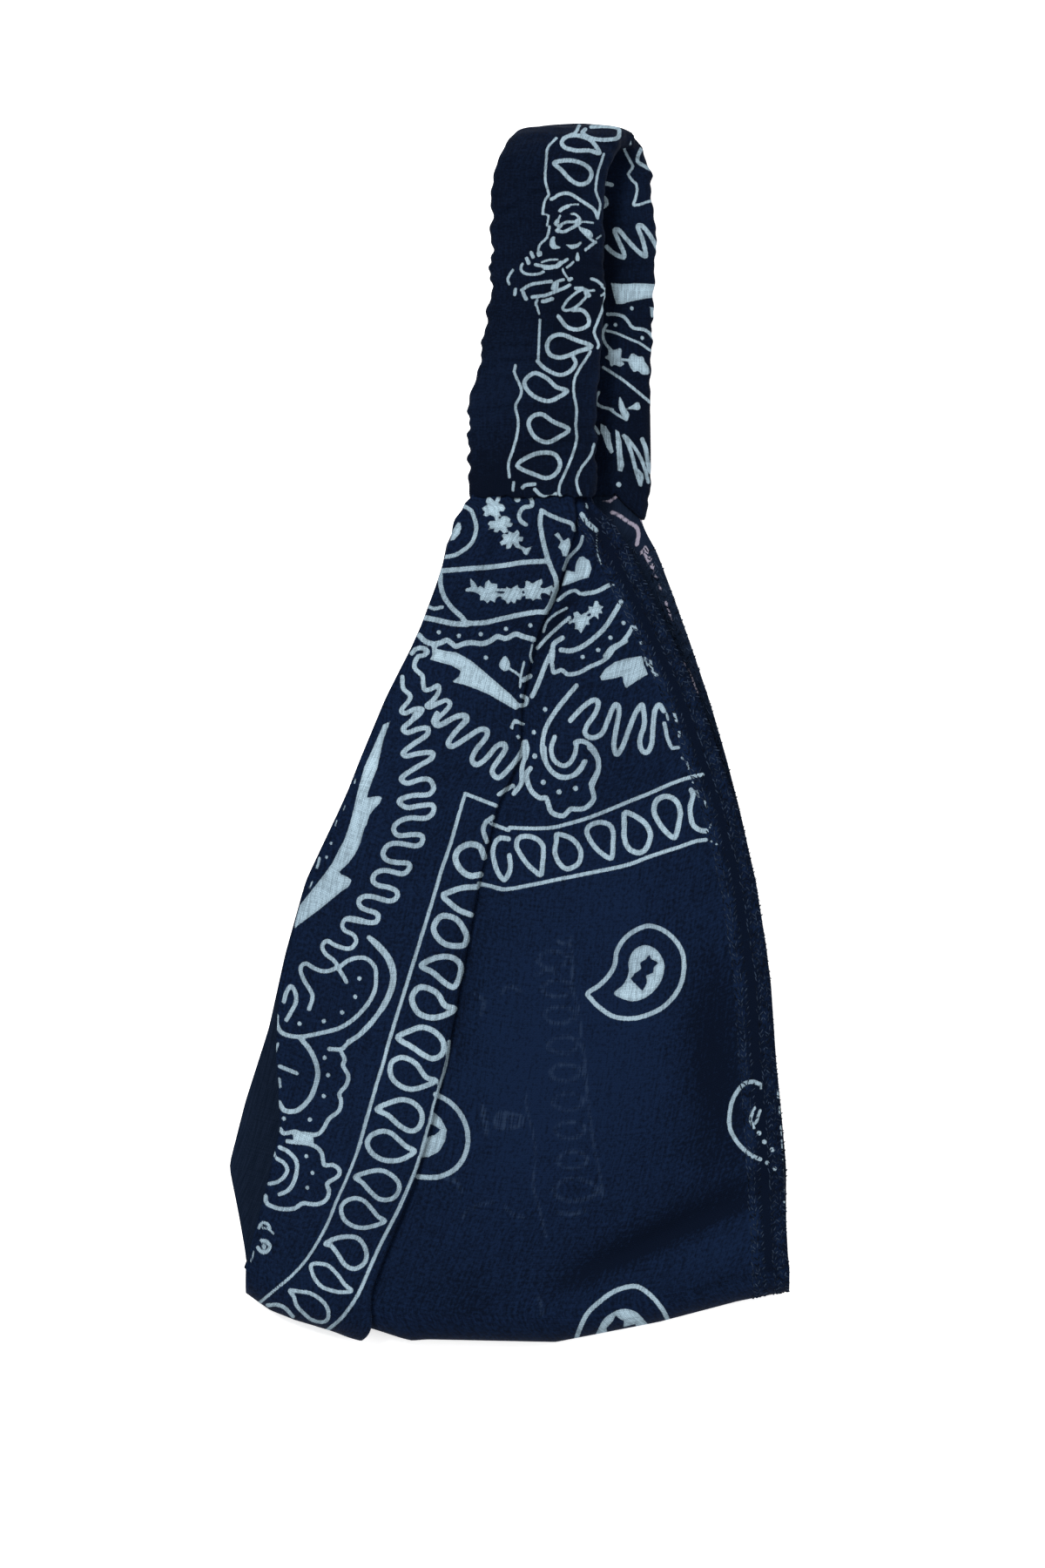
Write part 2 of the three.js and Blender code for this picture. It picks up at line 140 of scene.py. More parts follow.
# How far the flap's corner is drawn in where it turns over, how far the flap's back edge sinks on the
# near half, and the pleat's depth against y.
FLAP_CORNER_CUT = 2.0
FLAP_BACK_SINK = 1.9
PLEAT_DEPTH = np.array([(46.8, 11.0), (0.0, 12.0), (-113.0, 9.0)])

# Soft folds of the near half: a line, how high it stands and how far it spreads.
NEAR_FOLDS = [
    # x1, y1, x2, y2, height, spread
    (54, -91, 8, -113, -1.9, 2.9),
    (56, -103, 26, -113, 1.0, 6.0),
    (26, -34, 24, -92, 1.7, 12.0),
    (43, -46, 45, -90, -1.1, 5.0),
    (4, -6, 2, -88, 0.9, 9.0),
    (-44, -50, -38, -108, 0.9, 8.0),
    (-24, -10, -30, -80, 0.8, 9.0),
    (-6, -30, -14, -72, -0.7, 3.0),
    (20, 30, 34, -14, 0.9, 6.0),
    (-20, 14, -14, -20, 0.5, 5.0),
]
# Small tucks that fan out from the seam of the near half.
TUCKS = [
    # x1, y1, x2, y2, height, spread
    (15.6, 47, 16.4, 36, 1.0, 1.3),
    (16.4, 38, 13.6, 25, 1.1, 1.5),
    (13.9, 27, 4.6, 7, 1.0, 1.7),
    (14.6, 40, 8.0, 18, -0.9, 1.1),
    (12.5, 33, 7.0, 20, 0.8, 0.9),
    (14.9, 30, 8.0, 18, 0.7, 0.9),
    (11.0, 33, 8.0, 25, -0.7, 0.8),
    (18.2, 44, 24.0, 14, 0.7, 1.8),
    (9.0, 47, 3.0, 24, 0.5, 1.5),
    (3.0, 47, -5.0, 18, 0.5, 1.7),
    (-3.0, 47, -11.0, 20, 0.5, 1.6),
    (6.0, 47, 0.0, 26, -0.4, 1.2),
    (0.0, 47, -8.0, 24, -0.4, 1.2),
]

# Heights of the near half's puff, ripples and unevenness beside its seam.
SEAM_PUFF = 0.75
RIPPLE_HEIGHT = 0.34
UNEVEN_HEIGHT = 0.12

# Casing: x of its middle and half its width, against the distance along it.
CASING_OUTLINE = np.array(
    [
        (0, 4.4, 12.9),
        (18, 4.2, 12.9),
        (28, 5.8, 12.2),
        (42, 7.4, 11.5),
        (60, 7.3, 11.3),
        (67, 8.0, 11.6),
        (76, 12.4, 11.2),
        (86, 16.2, 12.0),
        (100, 17.0, 12.4),
        (130, 16.0, 12.2),
        (150, 15.6, 12.8),
        (160, 14.6, 12.5),
    ]
)
CASING_HALF_WIDTH = 12.0
CASING_HALF_HEIGHT = 2.8
CASING_END_HALF_HEIGHT = 2.95
# Its gathers: their pitch, their height, and how far they stand out at its side edges.
GATHER_PITCH = 5.2
GATHER_HEIGHT = 0.26
GATHER_WIDTH = 0.24
# Cloth in a length of it, for the weave, and how its ends are cut: the near one by this much, the far
# one at a slant that grows this fast from its front edge, up to this much.
GATHERED_CLOTH = 1.7
NEAR_END_CUT = 0.7
FAR_END_SLANT = 12.0
FAR_END_CUT = 6.0

# Mesh spacing: of the grids' rows on the near half, the far half and the casing, and of the cells on
# the edges of the print's lines and of its filled shapes.
FINE_STEP = 0.36
FAR_STEP = 0.8
CASING_STEP = 0.27
PRINT_STEP = 0.4
FAR_PRINT_STEP = 1.4
FILLED_STEP = 0.24
# How far from the print's edges those cells go, in chart squares.
PRINT_MARGIN = 1.7
# The longest cells elsewhere: above this y, where the tucks are, on the rest of the near half, at the
# centre-front fold, at the pleat's folds, under the faint print and on the far half.
TUCKED_Y = -8
TUCKED_STEP = 0.9
NEAR_STEP = 1.5
BEND_STEP = 1.2
TURN_STEP = 0.8
FAINT_STEP = 0.9
PLAIN_STEP = 3.0
# Steps of the inner faces, in steps of the outer grids, and of the grids across the front hem, round
# the centre-front fold and round the casing.
PANEL_INNER = 12
CASING_INNER = 8
HEM_STEPS = 24
BEND_STEPS = 44
CASING_STEPS = 216

# Painted light and shade along the near half's folds and tucks: paler on the ridges, where the layer under
# the cloth also shows through, and darker in the valleys and creases, painted shade; a line, how much and how
# far it spreads.
PAINTED_FOLD_LIGHT_AND_SHOW_THROUGH = [
    # x1, y1, x2, y2, strength, spread
    (6, -42, 2, -98, 0.50, 16),
    (28, -50, 22, -82, 0.30, 10),
    (12, -36, 30, -34, 0.25, 10),
    (-30, -60, -34, -96, 0.15, 12),
    (-36, 10, -24, -30, 0.12, 10),
    (40, -48, 43, -90, -0.75, 6),
    (-9, -36, -13, -70, -0.40, 3.5),
    (50, -91, 8, -112, -0.75, 3.4),
    (54, -92, 9, -112, -0.9, 1.1),
    (52, -101, 30, -110, 0.25, 4),
    (11.5, 33, 8.5, 26, -0.8, 0.9),
    (13.7, 28.7, 6.2, 18.7, -0.9, 0.9),
    (9.5, 23, 5.0, 14, -0.6, 0.8),
    (16.4, 44, 17.6, 34, -0.7, 1.0),
    (4, 36, 2, 0, -0.25, 4),
    (-16, -116, 2, -118, -0.25, 9),
]

# Stitches: the radius of their thread and the lowest that they lie.
THREAD_RADIUS = 0.14
LOWEST_STITCH = 0.4
# Rows of stitches along the front hem: share of the hem's width, pitch, length and slant.
HEM_ROWS = [
    (0.05, 1.25, 1.15, 0.15),
    (0.14, 1.15, 1.00, 0.60),
    (0.23, 1.25, 1.15, -0.20),
    (0.33, 1.30, 1.10, -0.70),
    (0.62, 1.25, 1.10, 0.20),
    (0.71, 1.15, 1.00, -0.60),
    (0.80, 1.20, 1.05, 0.75),
    (0.88, 1.25, 1.10, -0.20),
    (0.96, 1.15, 1.00, 0.90),
]

# Threads of the cloths: their pitch in metres.
CLOTH_THREADS = 0.00036
ELASTIC_THREADS = 0.0006

# Colours, where two are given of the darker and the paler threads: of the cloths, of the wrong side,
# of the ink where it is thin and thick, of the faint print, of its traces on the wrong side, and so on.
PANEL_NAVY = (0.0013, 0.0032, 0.0094, 1), (0.0033, 0.0087, 0.0262, 1)
CASING_NAVY = (0.0011, 0.0026, 0.0074, 1), (0.0024, 0.0059, 0.0168, 1)
WRONG_SIDE = (0.0030, 0.0065, 0.0150, 1), (0.0060, 0.0110, 0.0240, 1)
INK_LOW = (0.268, 0.364, 0.430, 1)
INK_HIGH = (0.356, 0.478, 0.554, 1)
FAINT_INK = (0.060, 0.098, 0.165, 1)
LILAC = (0.25, 0.23, 0.29, 1)
SEWING_THREAD = (0.0008, 0.0020, 0.0056, 1), (0.0190, 0.0310, 0.0560, 1)
ELASTIC = (0.012, 0.013, 0.016, 1), (0.035, 0.037, 0.042, 1)
FLOOR = (0.93, 0.93, 0.93, 1), (0.95, 0.95, 0.95, 1)

# The picture, in metres: the height of what it shows and the middle of it, on the plane at this
# height, seen through this lens.
PICTURE_HEIGHT = 0.3168
PICTURE_MIDDLE = 0.002288, -0.01038
PICTURE_PLANE = 0.012
LENS = 200.0
SENSOR = 36.0

# The print is charted on squares of this size, with x to the right and y down; this square of the
# chart lies over the frame's origin.
CHART_SQUARE = 0.176
CHART_X, CHART_Y = 587, 841

# One mark of the print a row: part, kind, width, points; an indented row goes on with the one before.
# Kinds: ~ curve, - straight lines, o closed curve, p filled shape, f filled round shape, q filled round
# shape with a hole, h the hole and . dots, whose width is a radius. Parts: N near panel, F far panel,
# C near casing, D far casing, G the faint print of the layer under the panel.
CHART = """
C ~ 4.7 672,149 669,154 678,160 692,162 708,160 711,153 709,147 695,145 679,146
C ~ 3.8 665,144 661,153 654,157
C o 4.7 645,165 650,159 661,157 675,161 682,167 688,178 676,175 661,175 648,171
C o 4.7 636,190 645,187 658,187 672,192 679,201 675,211 665,214 654,208 645,198
C ~ 2.5 615,349 619,362
C o 3.1 646,356 654,344 669,334 675,339 664,352 653,358
C ~ 3.1 695,342 692,355 686,371 682,383 687,396 686,401
C ~ 4.4 641,365 651,377 663,380 675,375 675,365 668,358 658,358
C - 2.8 620,369 619,389 618,414
C o 4.7 628,399 633,389 645,386 661,392 679,399 664,405 645,412 632,409
C ~ 4.4 617,416 626,425 642,432 654,428 661,419 658,412
C ~ 3.1 678,405 673,413 664,427 659,439 659,455 662,471 661,489 662,505 658,521 651,539 643,557 642,568
  648,575
C o 4.7 603,438 614,430 628,436 639,446 651,450 642,457 629,462 614,457 604,447
C ~ 3.1 592,421 591,430 598,446 598,455 592,468 595,483 594,499 589,518 584,533 585,549
C o 4.7 607,489 611,480 622,477 636,486 653,494 642,503 628,509 614,503
C o 4.7 594,536 608,525 623,521 637,523 643,533 639,544 628,550 614,546
C ~ 3.1 590,555 589,564
C ~ 4.1 600,561 604,558 614,557
C ~ 4.1 614,563 623,571 634,571 638,568
C ~ 3.1 682,511 678,524 667,539 662,552 664,564 669,574
C ~ 2.8 693,179 690,189 686,202 684,221 689,236 686,252
D ~ 3 714,160 717,169 721,177 725,184 727,189 724,194 722,198 726,204 731,209 732,217 730,226 728,233 736,232
  744,229 752,227
D ~ 4.2 737,168 733,177 733,183 739,187 747,191
D ~ 3 722,156 724,164
D ~ 4.6 687,206 695,208 703,210
D ~ 4.2 685,219 691,222 696,227 697,232 693,235 687,236
D ~ 3 700,171 707,169 712,165 716,158
D ~ 5 697,281 703,287 711,292 717,293 716,286 711,275 706,263 711,262 718,270 727,280 735,288 742,292 741,283
  738,272 733,258 738,257 745,265 752,276 757,285
D p 0 702,323 715,324 730,323 757,324 757,338 745,340 735,342 725,344 715,347 708,347 705,337
D ~ 3.7 698,359 707,359 715,361 720,365 725,372 729,375 738,376 745,379 752,387
D . 2.2 707,371 726,352 738,386
D p 0 747,350 756,352 756,362 748,362
D ~ 2.8 697,378 706,380 716,384 725,388 735,392 744,398 754,403
D ~ 3.2 697,371 693,378 693,386 696,393 702,400
D f 0 699,398 706,400 713,398 714,404 713,411 717,416 712,419 706,417 702,419 700,412 695,409 699,405
D - 3 714,411 724,412
D f 0 726,404 733,407 739,408 741,414 745,419 746,427 738,428 733,424 728,425 724,419 722,412
D ~ 3.3 693,420 704,427 715,434 725,442 735,450 747,460
D ~ 3.3 688,449 685,455 685,461 690,465 697,467 704,469
D ~ 3 703,470 710,475 719,480
D f 0 712,454 716,461 719,468 723,474 720,482 714,474 711,465
D f 0 720,468 726,464 733,460 736,466 733,469 726,468
D p 0 690,485 696,488 701,496 702,506 705,517 702,520 697,512 693,500 690,493
D ~ 3.4 683,488 688,496
D p 0 707,492 711,494 714,505 715,520 717,532 715,540 710,539 709,525 708,510
D ~ 4.4 717,499 722,509 727,524 731,540 736,555
D ~ 4 720,501 729,512 737,526 742,540 745,552
D ~ 3.6 730,537 735,541 738,546 736,555
D ~ 5 738,503 742,513 744,526 747,540
D . 3 711,555
N ~ 4.5 533,582 541,587 545,596 547,606 545,617 540,626 531,633 522,638 511,640
N p 0 528,598 530,606 528,614 522,620 517,622 517,614
N . 3.6 594,574
N ~ 4.6 608,571 611,577 610,582 603,583 598,587 596,594 599,600 604,603
N ~ 5.4 622,587 620,599 622,614 625,628 629,642 634,655 638,664 639,674 637,681 633,692 627,702
N ~ 4.5 623,588 635,594 645,598 656,602 659,609
N p 0 636,615 641,612 647,622 654,617 655,628 651,639 646,639 645,633 641,629 644,622 640,618
N ~ 3.6 669,616 666,626 658,635 652,642 647,654
N p 0 669,639 677,644 679,653 676,663 665,666 652,671 645,673 648,662 651,655 660,657 661,648 665,640
N ~ 5.4 668,591 672,598 678,604 684,609
N ~ 1.6 686,611 685,622 686,635 690,648
N - 2.1 673,579 674,584
N ~ 5.4 506,656 529,654 556,652 583,649 601,646 625,645
N ~ 5.4 506,660 506,671 510,685 519,698 531,709 536,715 556,715 574,711 597,706 615,703 627,703
N ~ 5.9 487,709 502,712 520,716 537,717
N ~ 3.9 493,697 499,699 508,697
N - 2.9 536,678 636,677
N . 2.5 504,726 527,730 552,728 581,722 609,718
N . 2.5 558,755 626,814 669,754 687,746 701,732 716,715
N ~ 5.7 481,729 488,736 497,739 506,738 513,735 519,739 524,742 533,739 542,738 554,739 563,736 571,731
  581,733 592,728 601,731 613,734
N p 0 501,745 515,748 524,749 540,758 556,771 572,785 586,797 595,807 599,810 592,815 578,807 563,798 547,791
  533,786 519,783 527,777 529,770 519,764 504,760 494,757
N ~ 5.4 499,742 499,753
N ~ 4.6 599,799 605,802 603,809 595,810
N ~ 5 473,750 478,745 486,744 491,748 487,752 480,754 476,762 477,768 485,776 486,785 488,792 495,791 503,787
  504,794 498,803 490,810 494,812 502,808 513,804 517,809 511,817 502,826 502,832 512,830 524,822 534,821
  536,825 529,833 524,840
N ~ 5 462,777 463,790 471,798 469,805 461,815 465,819 476,814 485,814 481,821 469,830 463,837
N f 0 580,753 586,763 583,769 578,770 573,763
N ~ 2.7 584,767 592,772 598,777
N ~ 2.7 602,760 599,772 597,789
N - 5 601,781 609,776
N ~ 2.5 611,740 609,753 611,760
N ~ 3.9 641,689 651,681 660,678 666,682
N ~ 2.9 624,725 628,714 638,705 651,698
N ~ 3.9 617,744 629,731 642,719 654,709
N ~ 4.8 670,682 685,679 699,672
N . 1.4 705,672
N - 2.7 654,715 688,696
N ~ 5.4 713,691 704,706 694,721 679,735 665,744 654,747 644,746
N ~ 5.4 646,732 636,739 634,748 629,757 622,774 616,789 611,799
N ~ 7.1 634,748 633,758
N ~ 4.6 634,762 636,772 645,769 652,774 665,772 678,765 690,760 699,753 706,744 719,736
N ~ 3.9 661,789 651,799 638,815 629,831 625,842
N ~ 2.9 588,836 591,827 599,831
N ~ 4.8 695,753 702,744 713,738 721,729 726,720
N - 2.6 729,719 731,723
N . 2 736,738 750,772 754,775
N p 0 689,777 695,768 706,760 719,756 737,753 739,762 744,774 730,782 719,790 716,783 715,776 704,779 691,781
N - 2.6 741,755 744,764
N - 2.6 747,758 749,769
N ~ 5.2 662,787 650,801 637,818 627,835 623,853 624,868 633,885 646,892 659,890 667,883 672,874
N ~ 5.2 637,846 633,859 636,872 646,879 654,876 660,866 662,855 661,852 670,851 681,859 687,872 687,885
  681,900
N ~ 5.6 655,827 667,814 680,804 687,806 684,818 674,833 672,842 680,847 691,842 698,827 704,812 709,809
  711,818 707,840 705,855 708,866 715,857 722,838 730,818 737,809 739,816 740,831 735,848 736,859 742,864
  748,855 750,833 752,816 757,809 762,816
N - 4.3 763,830 766,846 770,856
N ~ 3.9 772,859 779,858
N - 2.6 766,820 767,826
N - 3 774,818 777,828
N - 2.6 780,840 780,846
N . 2.2 626,815 613,840 614,868 624,897
N - 2 783,869 784,872
N - 2 789,875 791,883
N ~ 5.6 478,819 473,827 463,836 468,841 480,837 491,836 490,844 475,854 463,864 467,868 480,865 496,864
  495,871 478,881 461,893 468,899 482,895 493,895 498,904 492,912 475,913 461,917 459,922 468,927 482,925
  496,924 498,931 490,939 470,939 457,944 452,952 458,959 473,958 484,959 485,966 478,971 458,968 446,970
  440,979 444,987 456,990 469,991 470,997 462,1003 444,999 432,1002 428,1010 434,1016 448,1019 456,1024
  455,1031 446,1034 427,1029 416,1030 412,1036 417,1043 432,1048 434,1055 427,1059 400,1055
N ~ 5.8 502,819 498,828 504,833 519,825 533,821 536,827 524,839 515,852 519,857 533,849 550,838 559,838
  558,847 548,859 542,871 547,878 558,871 570,857 579,854 580,861 572,873 565,885 572,893 584,883 594,871
  600,861 602,852
N ~ 4.4 604,851 606,861 603,872
N ~ 3.2 587,835 591,829 601,831
N . 2.4 613,841 614,868 624,898 595,846
N - 4.1 534,911 570,925
N ~ 4 534,912 526,939 516,973 507,999 497,1033 485,1072 473,1111 458,1159 450,1185 445,1202 440,1221 433,1243
  427,1264 421,1285 416,1303 411,1320
N ~ 3.2 516,1195 514,1212 510,1230 505,1245 501,1258 497,1271 494,1285 490,1299 486,1313 482,1328 478,1341
N ~ 5.3 566,938 558,944 555,953 559,966
N ~ 4.1 550,1014 578,1021
N ~ 6.8 556,984 551,972 539,969 527,975 523,985 528,997 539,1005 552,1004
N ~ 6.3 548,1018 531,1019 516,1024 509,1028 516,1036 528,1045 541,1050
N o 6.5 510,1051 524,1055 533,1067 536,1077 532,1085 516,1085 505,1079 498,1067 502,1056
N o 6.3 484,1108 502,1099 519,1099 529,1108 527,1123 521,1133 511,1128 497,1116
N o 6.5 487,1133 502,1140 511,1154 522,1158 511,1165 495,1168 480,1162 473,1147 478,1136
N ~ 5.3 424,1076 436,1089 446,1102 451,1121 446,1142 432,1167 415,1186 400,1196
N ~ 4.6 435,1050 434,1056 426,1059 412,1055 399,1054 393,1061 396,1068 406,1073 409,1081 401,1089 385,1085
  376,1080 370,1086 374,1095 383,1102 387,1110 374,1115 362,1112 351,1106 345,1112 349,1125 356,1136 359,1145
  355,1158
N ~ 4.6 387,1110 393,1118 398,1127
N ~ 4.6 390,1110 401,1102 414,1099 424,1102 431,1111 432,1123 430,1138 421,1154 408,1168 392,1179 376,1184
  358,1188 346,1190 333,1189 323,1185 318,1175 318,1166
N ~ 4.6 426,1077 437,1086 448,1100 453,1116 451,1134 442,1154 428,1171 412,1188 399,1198 392,1204 378,1204
N ~ 4.6 326,1150 329,1139 334,1132 339,1139 340,1150 334,1162 329,1171
N . 2.5 413,1123 408,1144 393,1162 372,1172 344,1175 373,1214 377,1234 372,1258 356,1285 326,1284
N ~ 5.4 346,1193 356,1205 363,1220 365,1234 361,1250 355,1262 344,1273 335,1276 326,1274 320,1265
N - 4.3 321,1224 341,1232
N - 3.2 316,1207 319,1198
N - 2.9 321,1238 322,1248
N ~ 4.6 392,1207 396,1216 394,1223 400,1234 398,1245 390,1255 392,1264 389,1275 378,1284 371,1296 364,1302
  349,1302 339,1299 326,1301 322,1296
N p 0 337,1298 360,1300 360,1312 337,1311
N o 6.1 457,1191 471,1183 485,1179 499,1184 509,1196 508,1209 498,1215 487,1211 474,1202
N o 5.7 465,1214 478,1221 489,1236 500,1240 489,1246 472,1250 458,1245 449,1234 449,1221 456,1215
N o 5.7 433,1273 449,1265 464,1262 478,1268 485,1280 481,1294 471,1298 458,1291 446,1280
N ~ 4.6 330,1310 338,1311 350,1312 361,1315 369,1322 371,1330 373,1337 383,1337 390,1343 388,1350 376,1358
  378,1366 376,1375 368,1381 359,1382 348,1381 338,1387 326,1388 315,1386 306,1381 305,1373
N ~ 4.6 321,1317 331,1322 340,1332 341,1343 337,1358 330,1367 321,1371
N ~ 4.3 318,1330 326,1335 330,1343 326,1351 318,1357 309,1359
N - 3.3 313,1317 315,1326
N . 2.3 352,1327 359,1346 353,1363
N ~ 3.3 297,1410 301,1404 307,1405 310,1410
N ~ 2.3 302,1410 308,1411 314,1416
N ~ 4 296,1432 300,1437 306,1437 310,1431 306,1425 300,1424
N . 2.7 303,1431
N - 2 292,1436 288,1448
N ~ 3.3 415,1310 401,1346 386,1380 374,1409 353,1444 333,1466 315,1481 299,1495 292,1501
N ~ 4 482,1328 477,1343 459,1385 439,1424 424,1457 415,1478 408,1491 397,1507 388,1517 379,1525 372,1531
N o 5.6 430,1301 440,1298 450,1301 458,1308 467,1316 476,1321 467,1328 455,1332 440,1331 428,1324 422,1314
  424,1306
N o 5.1 408,1351 419,1346 436,1343 449,1348 458,1358 457,1369 449,1376 436,1376 426,1368 416,1357
N o 4.8 398,1378 408,1375 418,1378 426,1386 434,1396 442,1401 432,1406 418,1409 406,1407 396,1400 392,1390
  393,1383
N o 5 374,1427 386,1421 399,1419 411,1421 419,1431 421,1443 416,1452 406,1456 396,1451 388,1439 381,1430
N o 4.3 358,1451 368,1450 378,1453 388,1463 396,1474 404,1481 394,1483 381,1481 369,1476 361,1466 358,1458
N o 4.3 333,1481 343,1482 356,1484 368,1491 376,1501 377,1512 371,1518 359,1516 350,1509 341,1499 338,1489
N ~ 4.6 307,1499 318,1498 327,1501.5 332,1507 336,1512
N ~ 5.2 604,860 603,869 600,878 599,888 599,898 595,905 590,911
N ~ 5.5 609,882 605,888 606,898 611,909 620,916 627,916 630,924 633,932 641,936 648,936 655,929 662,929
  671,928 678,923 682,916 680,906 679,899 683,892 687,883 687,873 683,865 677,858
N - 4.8 573,912 580,907 589,902
N . 3 624,898 642,909 661,905 614,868
N ~ 4.6 625,858 626,869 630,881 638,890 647,893 656,891 665,883 671,874
N ~ 4.1 565,946 584,953
N ~ 4.1 585,950 609,951 634,950 655,945 678,938 701,929 720,921 745,911 770,900 790,893 807,889
N ~ 4.2 550,1015 563,1017 579,1021 609,1016 643,1009 678,1002 720,993 747,983 781,972 798,966 811,964
N ~ 5.5 584,963 574,962 568,969 566,979 568,991 572,1002 579,1010 585,1001 586,992 585,982
N o 5.5 605,960 616,963 623,970 624,979 623,991 621,1004 613,999 604,990 596,978 593,970 596,962
N o 5.5 640,958 653,961 662,968 667,978 665,990 657,996 649,997 641,989 637,977 639,966
N o 5.5 689,944 700,947 704,955 704,968 702,985 689,978 680,968 674,956 677,948
N o 5.9 718,933 733,939 743,948 747,960 742,974 733,979 722,974 717,962 717,947
N o 5.9 765,914 776,919 781,930 780,943 775,961 765,955 756,943 751,931 754,919
N ~ 5.6 794,907 796,914 793,924 793,935 796,947 804,953 811,954
N - 1.6 800,907 803,916
N - 1.9 809,919 812,927
N - 1.9 817,946 815,950
N . 1.5 796,898 817,966 823,969
N o 5.1 675,1140 687,1132 699,1120 706,1107 708,1093 716,1079 728,1069 744,1063 760,1067 775,1079 784,1095
  785,1116 779,1136 764,1154 746,1164 726,1169 705,1167 689,1157 679,1147
N q 0 705,1140 716,1130 722,1116 722,1103 728,1091 740,1085 752,1089 760,1099 763,1111 758,1128 746,1142
  730,1149 716,1147
N h 0 745,1095 748,1101 757,1105 751,1110 750,1117 742,1120 743,1128 738,1138 732,1132 724,1124 728,1118
  736,1112 735,1105 742,1101
N ~ 4.7 871,1244 864,1242 853,1246 842,1262 838,1281 839,1297 848,1313 862,1326 873,1331
N - 2.4 874,1244 874,1250
N . 2.4 881,1335 890,1342
N ~ 3.3 867,1272 862,1285 866,1295
N - 3.3 873,1275 868,1290
N . 2.7 872,1301 878,1311 887,1320
N - 2.9 894,1253 894,1260
N - 2.9 896,1271 896,1278
N - 2.4 897,1293 898,1303
N - 2.4 898,1309 899,1320
N . 1.6 900,1332 901,1344 902,1354 902,1367 901,1380
N ~ 5.5 500,1256 517,1266 530,1281 537,1301 535,1323 524,1341 508,1350 495,1352 480,1351
N p 0 498,1277 506,1284 513,1297 511,1310 504,1322 493,1328 484,1329 489,1308 493,1305 500,1303 506,1297
  500,1293 495,1290 493,1288
N ~ 5.2 661,1542 666,1526 674,1509 688,1495 705,1483 724,1477 736,1479 750,1490 761,1504 767,1516 771,1526
N q 0 683,1538 692,1517 704,1507 717,1503 731,1507 742,1519 747,1528 743,1543 686,1543
N h 0 696,1526 704,1517 707,1510 711,1514 717,1517 716,1525 730,1521 733,1533 699,1533
F ~ 3.5 698,576 708,569
F ~ 3.5 736,592 741,601
F . 2.6 747,640 750,648 744,632
F . 2 756,662 760,675 766,690 770,702
F ~ 4.3 742,626 742,636
C ~ 2.8 639,160 629,172 627,189 626,208 629,221 630,226 626,232 624,240 623,248
C - 1.8 623,248 628,249
C ~ 2.2 630,250 629,256 628,261
C ~ 2.8 631,262 630,268 628,275
C ~ 2.6 628,275 624,279 620,283 618,289
C f 0 616,292 619,290 622,291 622,295 618,297
C ~ 4 610,292 612,297
C ~ 4.4 605,299 607,304
C ~ 3 600,305 598,309 599,313 603,316 608,317 614,317 620,316 624,314
C ~ 2.8 589,312 585,318 583,323 585,328
C ~ 3.8 633,231 637,229 641,226 648,224 655,225 662,229 668,233 674,237 680,241 684,246 686,252
C ~ 4.2 643,244 647,241 652,239
C ~ 1.9 652,238 658,237 664,237
C ~ 2.4 656,248 660,248 665,252
C ~ 2.2 643,250 641,254
C ~ 4.6 640,256 638,259
C ~ 3 641,262 646,259 651,257 656,257 661,257
C ~ 4.6 661,257 665,254
C ~ 3.6 639,267 643,268 648,268 654,265 660,262 666,258
C ~ 3.2 640,266 644,261
C ~ 2.1 667,257 674,257 681,258
C f 0 664,262 670,264 676,266 680,270 680,274 674,275 670,271 666,267
C ~ 2.8 677,276 682,279 684,280
C ~ 3.2 683,280 678,284 672,289
C ~ 1.9 685,276 690,272
C f 0 633,275 637,274 637,279 639,284 644,286 638,288 633,287 631,281
C f 0 650,283 656,283 662,282 667,279 667,282 663,286 657,288 653,286
C f 0 663,291 665,296 665,301 661,301 661,296
C ~ 2.3 622,303 628,301 634,300 640,300
C ~ 3.6 615,306 620,307 626,308 633,308 640,307 645,304 651,300
C ~ 3.2 625,310 631,310 636,309
C ~ 5.2 639,308 644,304
C ~ 2.7 651,309 655,306 658,303
C ~ 2.5 646,311 648,316 651,320
C ~ 4 653,323 656,322
C ~ 3.6 599,335 605,331 612,328 619,327 626,326 633,325
C ~ 3.2 634,333 636,328 640,325 647,323
C f 0 635,327 641,325 641,331 638,335 634,335
C ~ 3.8 611,343 618,342 626,341 634,338 642,335 649,332 654,329
C ~ 4.2 623,348 628,347 634,345
C ~ 3.6 592,334 591,340
C ~ 4.4 601,338 602,341 604,345
C ~ 2.6 617,346 615,352
C ~ 4 661,333 669,333
C ~ 2.6 671,336 682,335
C ~ 5 673,339 676,341
C ~ 3.4 679,322 685,324 691,329
C ~ 2.4 691,331 695,334 694,338 690,341
N p 0 448,828 440,832 434,846 427,862 419,879 414,896 410,912 406,930 401,948 396,963 389,976 382,990
  375,1000 366,1012 358,1022 350,1032 343,1041 340,1052 338,1066 345,1060 356,1052 368,1043 380,1033 392,1023
  400,1018 404,1010 398,1006 392,1004 389,1001 400,991 408,980 413,970 418,952 421,946 424,936 430,928
  436,922 439,915 432,914 421,916 423,908 427,897 433,882 436,868 440,850 444,838
N . 1.8 380,968 375,984
N ~ 3 367,985 364,996
N ~ 1.6 408,894 407,899
N ~ 1.5 396,924 394,930
N ~ 1.5 387,942 385,948
N ~ 2 359,1012 355,1019
F ~ 4.6 703,587 711,590 718,595 726,600 732,604 734,612 732,624
F ~ 3.4 736,634 742,628
F ~ 2.8 785,757 791,768 797,782 803,798
F ~ 2.6 743,640 749,650 752,660
F ~ 2.4 756,668 760,680
F ~ 2.2 766,694 772,712
F . 1.2 690,612 708,606 716,622 722,640 706,634 730,654 742,672
N p 0 553,585 557,582 561,581 558,577 560,571 565,573 568,577 571,571 575,570 574,576 571,579 577,580 581,584
  578,588 573,588 575,593 571,596 574,597 578,593 583,594 587,598 583,601 590,602 586,606 581,605 584,611
